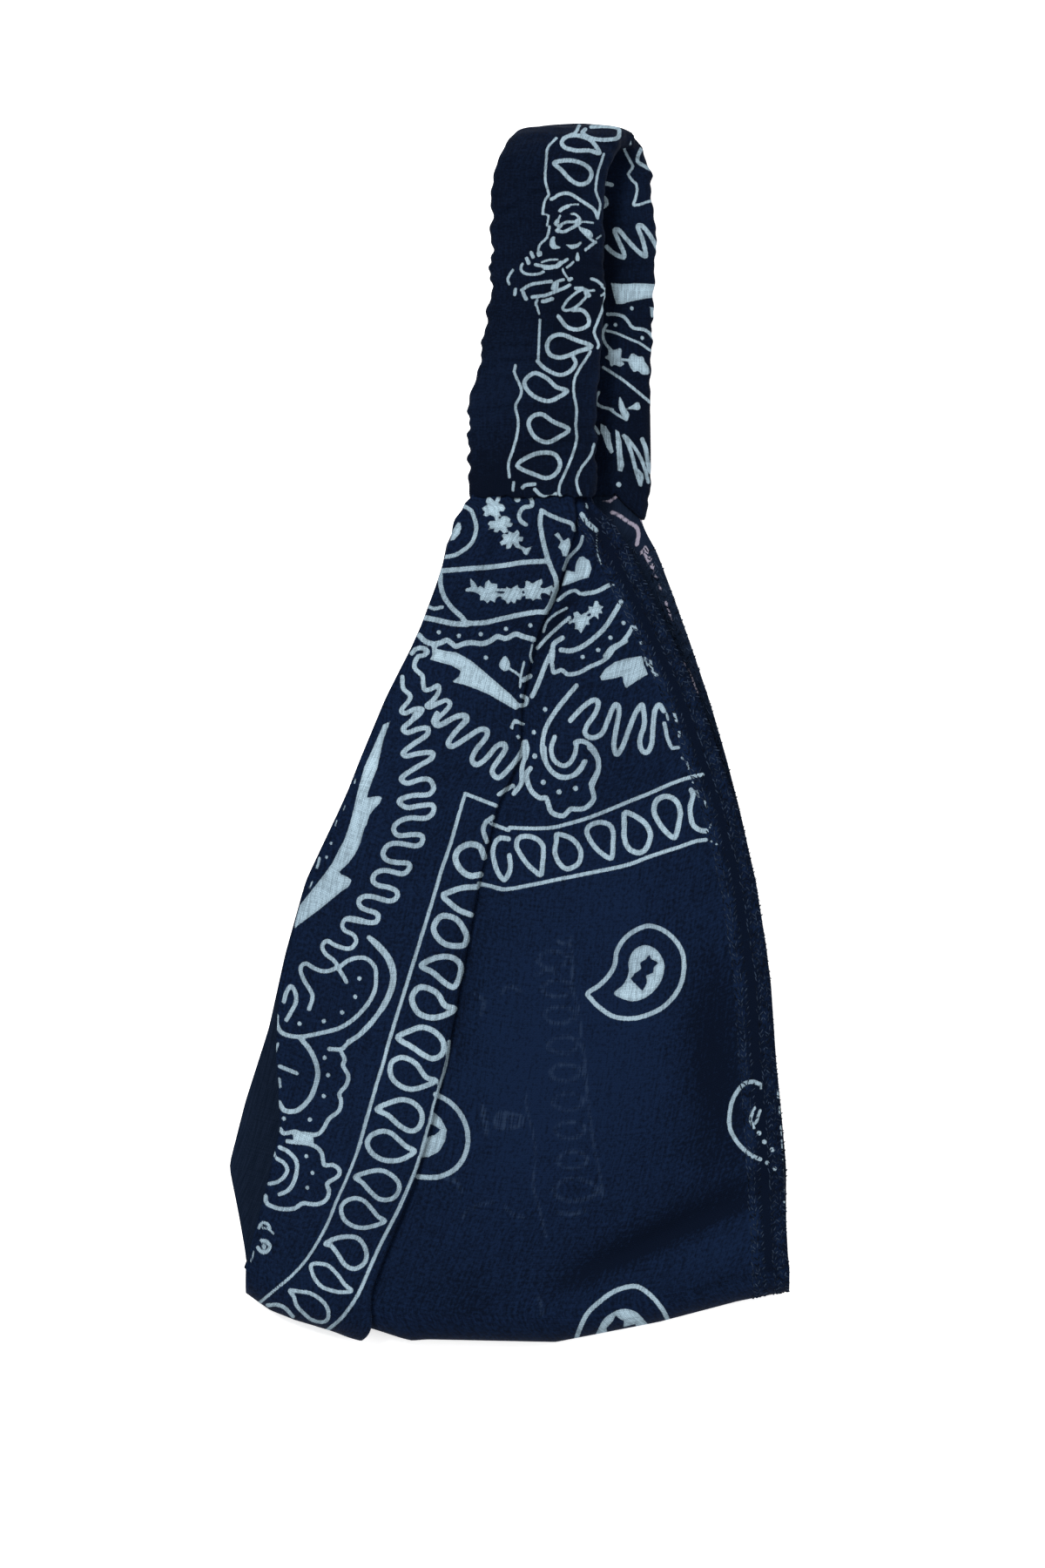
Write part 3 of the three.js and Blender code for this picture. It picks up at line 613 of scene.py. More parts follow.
  579,613 574,609 571,612 567,611 568,607 561,609 564,605 560,603 563,599 569,599 568,594 563,592 559,594
  554,592 558,589
N p 0 579,613 583,615 585,611 590,613 594,609 597,613 595,617 601,617 600,622 595,622 597,627 604,630 611,628
  608,633 605,638 601,636 600,632 595,630 592,629 589,624 586,630 581,631 582,625 576,627 574,623 579,620
  576,616
N p 0 534,677 541,674 540,664 546,670 548,675 552,673 556,676 558,669 561,666 564,670 571,671 571,676 568,680
  573,682 578,682 581,679 582,674 587,677 590,674 595,672 595,677 600,679 599,682 603,682 602,677 604,672
  603,667 608,668 611,671 615,668 622,665 623,670 620,674 623,677 628,675 636,671 633,677 631,684 626,681
  622,681 620,684 622,689 616,687 612,690 609,687 604,688 603,684 599,685 598,689 593,688 591,694 587,690
  583,694 580,689 576,688 577,685 572,685 569,688 568,692 563,689 560,693 556,689 551,690 552,684 548,681
  541,679
N p 0 658,704 663,702 667,706 671,705 676,708 679,706 676,701 676,696 681,697 683,690 687,690 688,695 693,696
  690,700 692,704 687,704 687,711 683,707 679,709 676,712 677,717 673,717 670,722 667,727 664,722 660,722
  661,716 656,713 660,709
G ~ 3.2 656,1075 657,1105 658,1132 664,1160 668,1190 671,1215 673,1240 677,1280 681,1310 687,1340 693,1375
G ~ 3 604,1255 605,1275 612,1300 615,1330 612,1360 620,1390 627,1420
G ~ 4 640,1392 656,1394 672,1390
G f 0 551,1270 557,1270 560,1285 561,1300 557,1306 554,1290
G f 0 566,1288 572,1276 584,1276 600,1280 602,1288 596,1295 580,1297 570,1296
G ~ 4 531,1397 540,1388 556,1382 566,1380
G ~ 4 580,1385 588,1394 602,1397
G ~ 4 618,1490 623,1505 617,1520
G ~ 3.4 640,1080 648,1084 656,1082
G ~ 4 575,1140 586,1132 598,1138
G ~ 4 615,1120 628,1114 640,1118
G ~ 4 545,1140 556,1150 552,1165
G ~ 5 512,1352 524,1358 530,1368
G o 4 653,1100 641,1110 626,1110 617,1102 626,1093 642,1093
G o 4 621,1136 633,1126 648,1126 657,1134 648,1143 632,1143
G o 4 661,1164 649,1174 634,1174 625,1166 634,1157 650,1157
G o 4 628,1201 640,1191 655,1191 664,1199 655,1208 639,1208
G o 4 668,1230 656,1240 641,1240 632,1232 641,1223 657,1223
G o 4 634,1266 646,1256 661,1256 670,1264 661,1273 645,1273
G o 4 673,1296 661,1306 646,1306 637,1298 646,1289 662,1289
G o 4 639,1333 651,1323 666,1323 675,1331 666,1340 650,1340
G o 4.5 636,1367 646,1356 662,1353 680,1359 686,1368 674,1376 656,1379 642,1375
"""


def ramp(value, low, high):
    share = np.clip((value - low) / (high - low), 0, 1)
    return share * share * (3 - 2 * share)


def mix(a, b, share):
    return a + (b - a) * share


def smooth_table(table, at, column):
    """Value of a table's column, with rounded corners where its rows meet."""
    rows = table[np.argsort(table[:, 0])]
    reach = 1.5
    near = [np.interp(at + d, rows[:, 0], rows[:, column]) for d in (-reach, 0, reach)]
    return 0.25 * near[0] + 0.5 * near[1] + 0.25 * near[2]


def along_lines(lines, x, y):
    """Height of a list of soft folds at points."""
    total = np.zeros_like(x)
    for x1, y1, x2, y2, height, spread in lines:
        dx, dy = x2 - x1, y2 - y1
        share = np.clip(((x - x1) * dx + (y - y1) * dy) / (dx * dx + dy * dy), 0, 1)
        away = np.hypot(x - x1 - share * dx, y - y1 - share * dy)
        total += height * np.exp(-((away / spread) ** 2)) * np.sin(np.pi * (0.12 + 0.8 * share))
    return total


def wander(seed, *axes):
    """Smooth seeded unevenness between about -1 and 1."""
    rng = np.random.default_rng(seed)
    total = 0
    for _ in range(5):
        phase = rng.uniform(0, 2 * np.pi)
        total = total + np.sin(sum(a * rng.uniform(-1, 1) for a in axes) * 2.2 + phase)
    return total / 3.2


# ---- the print ----


def smooth_line(points, closed):
    """A curve through points, as a fine polyline."""
    p = np.array(points, float)
    if len(p) < 3:
        return p
    if closed:
        p = np.vstack([p[-1], p, p[0], p[1]])
    else:
        p = np.vstack([2 * p[0] - p[1], p, 2 * p[-1] - p[-2]])
    t = np.linspace(0, 1, 5, endpoint=False)[:, None]
    runs = []
    for a, b, c, d in zip(p, p[1:], p[2:], p[3:]):
        square, cube = 2 * a - 5 * b + 4 * c - d, 3 * b - a - 3 * c + d
        runs.append(0.5 * (2 * b + (c - a) * t + square * t**2 + cube * t**3))
    return np.vstack(runs + [p[-2]])


def line_distance(line, x, y):
    """Distance to an open line."""
    best = np.full(x.shape, 1e9)
    for (x1, y1), (x2, y2) in zip(line, line[1:]):
        dx, dy = x2 - x1, y2 - y1
        length = dx * dx + dy * dy or 1e-9
        share = np.clip(((x - x1) * dx + (y - y1) * dy) / length, 0, 1)
        best = np.minimum(best, np.hypot(x - x1 - share * dx, y - y1 - share * dy))
    return best


def shape_distance(line, x, y):
    """Distance to a closed outline, negative inside it."""
    inside = np.zeros(x.shape, bool)
    for (x1, y1), (x2, y2) in zip(line, np.roll(line, -1, axis=0)):
        if y1 != y2:
            crossing = ((y1 > y) != (y2 > y)) & (x < (x2 - x1) * (y - y1) / (y2 - y1) + x1)
            inside ^= crossing
    away = line_distance(np.vstack([line, line[:1]]), x, y)
    return np.where(inside, -away, away)


def read_chart():
    marks = []
    for row in CHART.replace("\n  ", " ").strip().split("\n"):
        part, kind, width, *points = row.split()
        marks.append((part, kind, float(width), [tuple(map(float, p.split(","))) for p in points]))
    return marks


MARKS = read_chart()
FAR_FROM_INK = 9.0


def print_distance(part, x_mm, y_mm, kinds="~-opfqh."):
    """Distance from points to the edge of the print, in chart squares, negative on the ink."""
    shape = x_mm.shape
    x = CHART_X + x_mm.ravel() / CHART_SQUARE
    y = CHART_Y - y_mm.ravel() / CHART_SQUARE
    ink = np.full(x.shape, FAR_FROM_INK)
    for mark_part, kind, width, points in MARKS:
        if mark_part != part or kind not in kinds:
            continue
        reach = width + FAR_FROM_INK
        low, high = np.min(points, axis=0) - reach, np.max(points, axis=0) + reach
        near = np.flatnonzero((x > low[0]) & (x < high[0]) & (y > low[1]) & (y < high[1]))
        if not near.size:
            continue
        nx, ny = x[near], y[near]
        line = np.array(points) if kind in "-ph" else smooth_line(points, kind in "ofq")
        if kind == "h":
            ink[near] = np.maximum(ink[near], -shape_distance(line, nx, ny))
            continue
        if kind in "~-o":
            away = line_distance(line, nx, ny) - width / 2
        elif kind in "pfq":
            away = shape_distance(line, nx, ny)
        else:
            away = np.min([np.hypot(nx - a, ny - b) - width for a, b in points], axis=0)
        ink[near] = np.minimum(ink[near], away)
    return np.clip(ink, -FAR_FROM_INK, FAR_FROM_INK).reshape(shape)


# ---- meshes ----


def surface_normals(points):
    """Unit normals of a grid of points, out of the side from which the columns run to the right."""
    normals = np.cross(np.gradient(points, axis=0), np.gradient(points, axis=1))
    return normals / np.maximum(np.linalg.norm(normals, axis=2, keepdims=True), 1e-9)


def lowest_near(values, reach):
    """The lowest value within some rows and columns of each place."""
    low = values.copy()
    for axis in (0, 1):
        start = low.copy()
        for step in range(1, reach + 1):
            for way in (step, -step):
                low = np.minimum(low, np.roll(start, way, axis=axis))
    return low


def fitted_cells(points, limit, row_breaks, column_breaks):
    """Cells of a grid of points, each split until it is no longer than the limit at its places."""
    row_run = np.cumsum(np.linalg.norm(np.diff(points, axis=0, prepend=points[:1]), axis=2), axis=0)
    column_run = np.cumsum(np.linalg.norm(np.diff(points, axis=1, prepend=points[:, :1]), axis=2), axis=1)
    cells, waiting = [], []
    for r0, r1 in zip(row_breaks, row_breaks[1:]):
        for c0, c1 in zip(column_breaks, column_breaks[1:]):
            waiting.append((r0, r1, c0, c1))
    while waiting:
        r0, r1, c0, c1 = waiting.pop()
        middle_r, middle_c = (r0 + r1) // 2, (c0 + c1) // 2
        tall = row_run[r1, middle_c] - row_run[r0, middle_c] if r1 - r0 > 1 else 0
        wide = column_run[middle_r, c1] - column_run[middle_r, c0] if c1 - c0 > 1 else 0
        allowed = limit[r0 : r1 + 1, c0 : c1 + 1].min()
        if max(tall, wide) <= allowed:
            cells.append((r0, r1, c0, c1))
        elif tall >= wide:
            waiting += [(r0, middle_r, c0, c1), (middle_r, r1, c0, c1)]
        else:
            waiting += [(r0, r1, c0, middle_c), (r0, r1, middle_c, c1)]
    return cells


def walled_cloth(name, outer, inner, kept, limit, breaks, uv, material, ring=False):
    """A closed piece of cloth: a fine outer face, a coarse inner one and the rims between them.

    outer and inner are points and the values at them, the inner ones only at the kept rows and columns.
    The columns of a ring close on themselves, so its grids repeat their first column at the end."""
    (outer_points, outer_values), (inner_points, inner_values), (kept_rows, kept_columns) = outer, inner, kept
    cells = fitted_cells(outer_points, limit, *breaks)
    used = np.zeros(outer_points.shape[:2], bool)
    for r0, r1, c0, c1 in cells:
        used[[r0, r0, r1, r1], [c0, c1, c0, c1]] = True
    used[0, kept_columns] = used[-1, kept_columns] = True
    if ring:
        used[:, 0] |= used[:, -1]
        used[:, -1] = used[:, 0]
    else:
        used[kept_rows, 0] = used[kept_rows, -1] = True
    once = slice(None, -1) if ring else slice(None)
    counted = used.copy()
    if ring:
        counted[:, -1] = False
    number = np.full(used.shape, -1)
    number[counted] = np.arange(counted.sum())
    inner_once = inner_points[:, once]
    inner_number = counted.sum() + np.arange(inner_once[:, :, 0].size).reshape(inner_once.shape[:2])
    if ring:
        number[:, -1] = number[:, 0]
        inner_number = np.hstack([inner_number, inner_number[:, :1]])

    def run(r0, c0, r1, c1):
        """Used places from one corner of a cell to the next, without the last."""
        steps = max(abs(r1 - r0), abs(c1 - c0))
        way_r, way_c = (r1 > r0) - (r1 < r0), (c1 > c0) - (c1 < c0)
        places = [(r0 + way_r * i, c0 + way_c * i) for i in range(steps)]
        return [int(number[p]) for p in places if used[p]]

    def rim(start, end, inner_start, inner_end):
        """The face between a run of outer places and the inner points at its ends."""
        edge = run(*start, *end) + [int(number[end])]
        return edge + [int(inner_number[inner_end]), int(inner_number[inner_start])]

    faces = []
    for r0, r1, c0, c1 in cells:
        faces.append(run(r0, c0, r1, c0) + run(r1, c0, r1, c1) + run(r1, c1, r0, c1) + run(r0, c1, r0, c0))
    a, b = inner_number[:-1, :-1], inner_number[1:, :-1]
    c, d = inner_number[1:, 1:], inner_number[:-1, 1:]
    faces += np.stack([f.ravel() for f in (a, d, c, b)], axis=1).tolist()
    last_r, last_c = used.shape[0] - 1, used.shape[1] - 1
    for i, (c0, c1) in enumerate(zip(kept_columns, kept_columns[1:])):
        faces.append(rim((0, c0), (0, c1), (0, i), (0, i + 1)))
        faces.append(rim((last_r, c1), (last_r, c0), (-1, i + 1), (-1, i)))
    for i, (r0, r1) in enumerate([] if ring else zip(kept_rows, kept_rows[1:])):
        faces.append(rim((r1, 0), (r0, 0), (i + 1, 0), (i, 0)))
        faces.append(rim((r0, last_c), (r1, last_c), (i, -1), (i + 1, -1)))

    points = np.vstack([outer_points[counted], inner_once.reshape(-1, 3)])
    values = {}
    for key, field in outer_values.items():
        values[key] = np.concatenate([field[counted], inner_values[key][:, once].ravel()])
    inner_uv = uv[np.ix_(kept_rows, kept_columns[once])].reshape(-1, 2)
    return make_object(name, points, faces, values, np.vstack([uv[counted], inner_uv]), material)


def make_object(name, points_mm, faces, attributes, uv_mm, material):
    """An object of one mesh, with values at its points and a flat map in metres of cloth."""
    mesh = bpy.data.meshes.new(name)
    mesh.from_pydata((np.asarray(points_mm) * MM).tolist(), [], faces)
    for key, values in attributes.items():
        layer = mesh.attributes.new(key, "FLOAT", "POINT")
        layer.data.foreach_set("value", np.asarray(values, np.float32))
    corner = np.zeros(len(mesh.loops), np.int32)
    mesh.loops.foreach_get("vertex_index", corner)
    uv = mesh.uv_layers.new(name="cloth")
    uv.data.foreach_set("uv", (np.asarray(uv_mm, np.float32)[corner] * MM).ravel())
    mesh.polygons.foreach_set("use_smooth", np.ones(len(mesh.polygons), bool))
    mesh.materials.append(material)
    mesh.update()
    piece = bpy.data.objects.new(name, mesh)
    bpy.context.collection.objects.link(piece)
    return piece


# ---- the front panel ----


def panel_columns():
    """Zone, share across it and layer of each column, from the back edge to the front edge."""
    zones = [
        # zone, layer, steps, from, to
        ("back_hem", 2, 8, 0, 1),
        ("back", 2, 76, 0, 1),
        ("pleat", 2, 28, 0, 1),
        ("fold_turn", 2, 6, 0, 1),
        ("pleat", 1, 4, 1, 0),
        ("inner_turn", 1, 4, 0, 1),
        ("pleat", 0, 4, 0, 1),
        ("front", 0, 200, 0, 1),
        ("front_hem", 0, HEM_STEPS, 0, 1),
    ]
    columns, ends = [("back_hem", 2, 0.0)], [0]
    for zone, layer, steps, start, stop in zones:
        columns += [(zone, layer, mix(start, stop, i / steps)) for i in range(1, steps + 1)]
        ends.append(len(columns) - 1)
    names = np.array([c[0] for c in columns])
    return names, np.array([c[1] for c in columns]), np.array([c[2] for c in columns]), ends


def panel_place(zone, layer, share, edges, y):
    """Place across the panel and height over the under layer of each column at its y, and the places
    there of the back edge and of the pleat's fold."""
    back, fold, front = (smooth_table(edges, y, i) for i in (1, 2, 3))
    turn = LAYER_PITCH / 2
    start = fold - smooth_table(PLEAT_DEPTH, y, 1) + turn
    end = fold - turn
    wide = ramp(front - back, 22, 34)
    back_hem = back + mix(NARROW_BACK_HEM, BACK_HEM_WIDTH, wide)
    front_hem = front - mix(NARROW_FRONT_HEM, FRONT_HEM_WIDTH, wide)
    bow = turn * np.sin(share * math.pi)
    places = {
        "back_hem": mix(back, back_hem, share),
        "back": mix(back_hem, start, share),
        "pleat": mix(start, end, share),
        "fold_turn": end + bow,
        "inner_turn": start - bow,
        "front": mix(end, front_hem, share),
        "front_hem": mix(front_hem, front, share),
    }
    x = np.select([zone == name for name in places], list(places.values()))
    turned = (zone == "fold_turn") | (zone == "inner_turn")
    height = layer * LAYER_PITCH - turned * turn * (1 - np.cos(share * math.pi))
    return x, height, back, fold


def panel_rows():
    """Half and share of each row: near half, fold at the centre front, far half."""
    length = NEAR_SEAM_Y + TONGUE_LENGTH + 118  # to about the centre-front fold
    near_rows, far_rows = int(length / FINE_STEP), int(length / FAR_STEP)
    near = [("near", i / near_rows) for i in range(near_rows + 1)]
    bend = [("bend", i / BEND_STEPS) for i in range(1, BEND_STEPS)]
    far = [("far", i / far_rows) for i in range(far_rows + 1)]
    return near + bend + far


def near_relief(x, y):
    """Height of the near half's folds, tucks and puffed seam over its even shape."""
    relief = along_lines(NEAR_FOLDS, x, y) * ramp(y, -120, -104) * (1 - ramp(y, 20, 42))
    relief += along_lines(TUCKS, x, y) * (1 - ramp(y, 40.5, NEAR_SEAM_Y - 0.5))
    relief += SEAM_PUFF * ramp(y, 36, 44) * (1 - ramp(y, 45.2, NEAR_SEAM_Y - 0.2))
    ripples = np.sin(x * 2.3 + 1.5 * wander(5, x * 0.3, y * 0.05)) * ramp(y, 32, 44)
    ripples = ripples * (1 - ramp(y, 45, NEAR_SEAM_Y))
    uneven = UNEVEN_HEIGHT * wander(3, x * 0.16, y * 0.09) * ramp(y, -118, -104) * (1 - ramp(y, 36, 44))
    return relief + RIPPLE_HEIGHT * ripples + uneven


def panel_points(zone, layer, share, rows):
    """The middle of the cloth, with the folds' height and the hems' extra thickness."""
    bottom = np.full(len(zone), FRONT_END_Y)
    bottom_x, bottom_n, *_ = panel_place(zone, layer, share, NEAR_EDGES, bottom)
    flap = np.interp(bottom_x, FLAP_FOLD_LINE[:, 0], FLAP_FOLD_LINE[:, 1])
    under = np.interp(bottom_x, UNDER_FOLD_LINE[:, 0], UNDER_FOLD_LINE[:, 1])
    bend_n = bottom_n + ramp(bottom_x, -28, -16) * LAYER_PITCH * (layer == 0)
    turn_y = np.where(layer == 2, flap, under) - LAYER_PITCH * (layer == 1)
    turn_y = turn_y + PANEL_BEND_RADIUS + bend_n + WALL / 2
    hem_zone = (zone == "back_hem") | (zone == "front_hem")
    points, reliefs, hems = [], [], []
    for half, down in rows:
        far = half == "far"
        angle = {"near": 0, "bend": down * math.pi, "far": math.pi}[half]
        edges, seam = (FAR_EDGES, FAR_SEAM_Y) if far else (NEAR_EDGES, NEAR_SEAM_Y)
        end = seam + TONGUE_LENGTH
        y = {"near": mix(end, turn_y, down), "bend": turn_y, "far": mix(turn_y, end, down)}[half]
        at = bottom if half == "bend" else y
        x, n, back, fold = panel_place(zone, layer, share, edges, at)
        corner = (layer > 0) * ramp(x, fold - 9, fold - 1)
        x = x - FLAP_CORNER_CUT * math.sin(angle) ** 4 * corner
        # On the far half the cloth in front of the flap steps out level with it, to lie as low.
        n = n + ramp(angle, 0, math.pi) * (layer == 0) * 2 * LAYER_PITCH * ramp(x, fold, fold + 9)
        relief, lift = np.zeros_like(x), np.zeros_like(x)
        rise = ramp(y, seam - RISE_LENGTH, seam - 1)
        if half == "near":
            back_share = 1 - ramp(x, back, fold - 14)
            n = n - (layer == 2) * FLAP_BACK_SINK * back_share * (1 - ramp(y, 5, 35)) * ramp(y, -116, -100)
            relief = near_relief(x, y)
            lift = (CASING_NEAR_Z - NEAR_BASE_Z - LAYER_PITCH) * rise
        elif far:
            lift = (CASING_FAR_Z - FAR_BASE_Z + LAYER_PITCH) * rise
        radius = PANEL_BEND_RADIUS + n + relief
        z = PANEL_BEND_Z + lift + math.cos(angle) * radius
        points.append(np.column_stack([x, y - math.sin(angle) * radius, z]))
        reliefs.append(relief)
        hems.append(HEM_EXTRA * hem_zone * (1 - ramp(at, seam - 7, seam - 1)))
    return np.array(points), np.array(reliefs), np.array(hems)


def hem_shade(zone, share, y):
    """The front hem's darker band, with paler rows of stitching and a dark channel between them."""
    rows = 0.85 * np.exp(-(((share - 0.2) / 0.15) ** 2)) + 0.5 * np.exp(-(((share - 0.8) / 0.13) ** 2))
    channel = 0.45 * np.exp(-(((share - 0.5) / 0.10) ** 2))
    uneven = 1 + 0.7 * wander(61, y * 1.4, share * 3)
    return (zone == "front_hem") * (rows * uneven - channel - 0.6 * ramp(share, 0, 0.3))


def panel_limit(outer, zone, half, ink, faded):
    """The longest cell of the outer face at each of its points."""
    x, y = outer[:, :, 0], outer[:, :, 1]
    near = (half == "near")[:, None] & np.ones(len(zone), bool)
    plain = np.where((half == "bend")[:, None], BEND_STEP, PLAIN_STEP)
    limit = np.where(near, np.where(y > TUCKED_Y, TUCKED_STEP, NEAR_STEP), plain)
    limit[:, (zone == "fold_turn") | (zone == "inner_turn")] = TURN_STEP
    limit = np.where(near & (np.abs(faded) < 2), np.minimum(limit, FAINT_STEP), limit)
    printed = np.where(half == "far", FAR_PRINT_STEP, PRINT_STEP)[:, None]
    limit = np.where(np.abs(ink) < PRINT_MARGIN, printed, limit)
    filled = print_distance("N", x, y, "pfqh")
    return np.where(near & (np.abs(filled) < PRINT_MARGIN), FILLED_STEP, limit)


def panel_kept(zone, zone_ends, first_bend, first_far, row_count):
    """The rows and columns that the inner face keeps: few in the middle, more at bends and edges."""
    into_casing = int(first_far + (row_count - first_far) * 0.82)
    rows = set(range(0, first_bend, PANEL_INNER)) | set(range(first_bend, first_far, 4))
    rows |= set(range(first_far, row_count, 2)) | set(range(into_casing, row_count))
    columns = set()
    for start, stop in zip(zone_ends, zone_ends[1:]):
        long = zone[stop] in ("back", "front", "pleat")
        steps = round((stop - start) / PANEL_INNER) if long else (stop - start) // 2
        columns |= set(np.linspace(start, stop, max(1, steps) + 1).astype(int).tolist())
    hem_start = zone_ends[-2]
    columns |= set(range(hem_start - 24, hem_start, 4))
    return sorted(rows), sorted(columns)


def front_panel(material):
    """The panel's piece, with its outer points, their normals, and each column's zone and row's half."""
    zone, layer, share, zone_ends = panel_columns()
    rows = panel_rows()
    half = np.array([r[0] for r in rows])
    centre, relief, hems = panel_points(zone, layer, share, rows)
    normals = surface_normals(centre)
    outer = centre + normals * (WALL / 2)

    ink = print_distance("N", outer[:, :, 0], outer[:, :, 1])
    ink[:, (zone == "inner_turn") | (zone == "pleat") & (layer < 2)] = FAR_FROM_INK
    faded = print_distance("G", outer[:, :, 0], outer[:, :, 1])
    faded[:, layer == 2] = FAR_FROM_INK
    faded[half != "near"] = FAR_FROM_INK
    # Painted light and shade on the near half's folds, with the layer under it showing through, and the hem's
    # darker band; weaker off the near half.
    pale = along_lines(PAINTED_FOLD_LIGHT_AND_SHOW_THROUGH, outer[:, :, 0], outer[:, :, 1]) + hem_shade(zone, share, outer[:, :, 1])
    pale[half != "near"] *= 0.3

    first_bend = int(np.flatnonzero(half == "bend")[0])
    first_far = int(np.flatnonzero(half == "far")[0])
    kept = panel_kept(zone, zone_ends, first_bend, first_far, len(rows))
    # The coarse inner face sinks below the folds that it is too coarse to follow.
    sunk = np.zeros_like(centre)
    sunk[:, :, 2] = relief - lowest_near(relief, PANEL_INNER)
    sunk[:, (zone != "back") & (zone != "front") & (zone != "front_hem")] *= 0.3
    inner = (centre - sunk - normals * (WALL / 2 + hems[:, :, None]))[np.ix_(*kept)]
    through = print_distance("F", inner[:, :, 0], inner[:, :, 1])
    through[half[kept[0]] != "far"] = FAR_FROM_INK

    length = np.cumsum(np.linalg.norm(np.diff(centre, axis=0, prepend=centre[:1]), axis=2), axis=0)
    across = np.cumsum(np.linalg.norm(np.diff(centre, axis=1, prepend=centre[:, :1]), axis=2), axis=1)
    uv = np.stack([across - across[:, [zone_ends[3] + 3]], length], axis=2)
    outer_values = {"ink": ink, "faded": faded, "wrong_side": 0 * ink, "pale": pale}
    plain = np.full(through.shape, FAR_FROM_INK)
    inner_values = {"ink": plain, "faded": through, "wrong_side": 1 + 0 * plain, "pale": 0 * plain}
    breaks = sorted({0, first_bend - 1, first_far, len(rows) - 1}), sorted(set(zone_ends))
    limit = panel_limit(outer, zone, half, ink, faded)
    sides = (outer, outer_values), (inner, inner_values)
    piece = walled_cloth("front_panel_cloth", *sides, kept, limit, breaks, uv, material)
    return piece, outer, normals, zone, half


# ---- the casing ----


def flat_tube_outline(count):
    """A flat rounded outline of half sizes 1, in even steps, with its outward directions."""
    turn = np.linspace(math.pi, -math.pi, 4001)
    x = np.sign(np.cos(turn)) * np.abs(np.cos(turn)) ** 0.8 * CASING_HALF_WIDTH
    n = np.sign(np.sin(turn)) * np.abs(np.sin(turn)) ** 0.55 * CASING_HALF_HEIGHT
    run = np.concatenate([[0], np.cumsum(np.hypot(np.diff(x), np.diff(n)))])
    at = np.linspace(0, run[-1], count, endpoint=False)
    x, n = np.interp(at, run, x), np.interp(at, run, n)
    side = np.column_stack([np.roll(x, -1) - np.roll(x, 1), np.roll(n, -1) - np.roll(n, 1)])
    normal = np.column_stack([-side[:, 1], side[:, 0]]) / np.linalg.norm(side, axis=1, keepdims=True)
    return x / CASING_HALF_WIDTH, n / CASING_HALF_HEIGHT, normal, at


def gathers(along, x, n):
    """Height of the casing's gathers: rounded ridges with sharp valleys that wander and fork."""
    side = n * 1.1  # so that the gathers of the two faces differ
    warp = 1.9 * wander(11, along * 0.11, x * 0.10, side) + 1.0 * wander(12, along * 0.3, x * 0.25, side)
    big = 2 * np.abs(np.sin(math.pi * along / GATHER_PITCH + warp)) - 1.27
    warp = 2.2 * wander(13, along * 0.25, x * 0.3, side)
    fine = np.sin(2 * math.pi * along / 1.9 + warp) * (0.6 + 0.6 * wander(14, along * 0.25, x * 0.22, side))
    middle = np.sin(2 * math.pi * along / 3.1 + 2.0 * wander(16, along * 0.2, x * 0.2, side))
    strength = 0.8 + 0.5 * wander(15, along * 0.14, x * 0.12, side)
    return strength * (GATHER_HEIGHT * big + 0.10 * middle) + 0.10 * fine


def edge_bumps(along, side):
    """How far the casing's side edges stand out."""
    slow = np.sin(2 * math.pi * along / 7.4 + 4.0 * wander(17, along * 0.12, side))
    fine = np.sin(2 * math.pi * along / 3.1 + 3.0 * wander(18, along * 0.2, side))
    strength = 0.9 + 0.7 * wander(19, along * 0.09, side)
    return strength * (GATHER_WIDTH * slow + 0.13 * fine)


def closed(values):
    """The values round a ring, with the first one again at the end."""
    return np.concatenate([values, values[:1]])


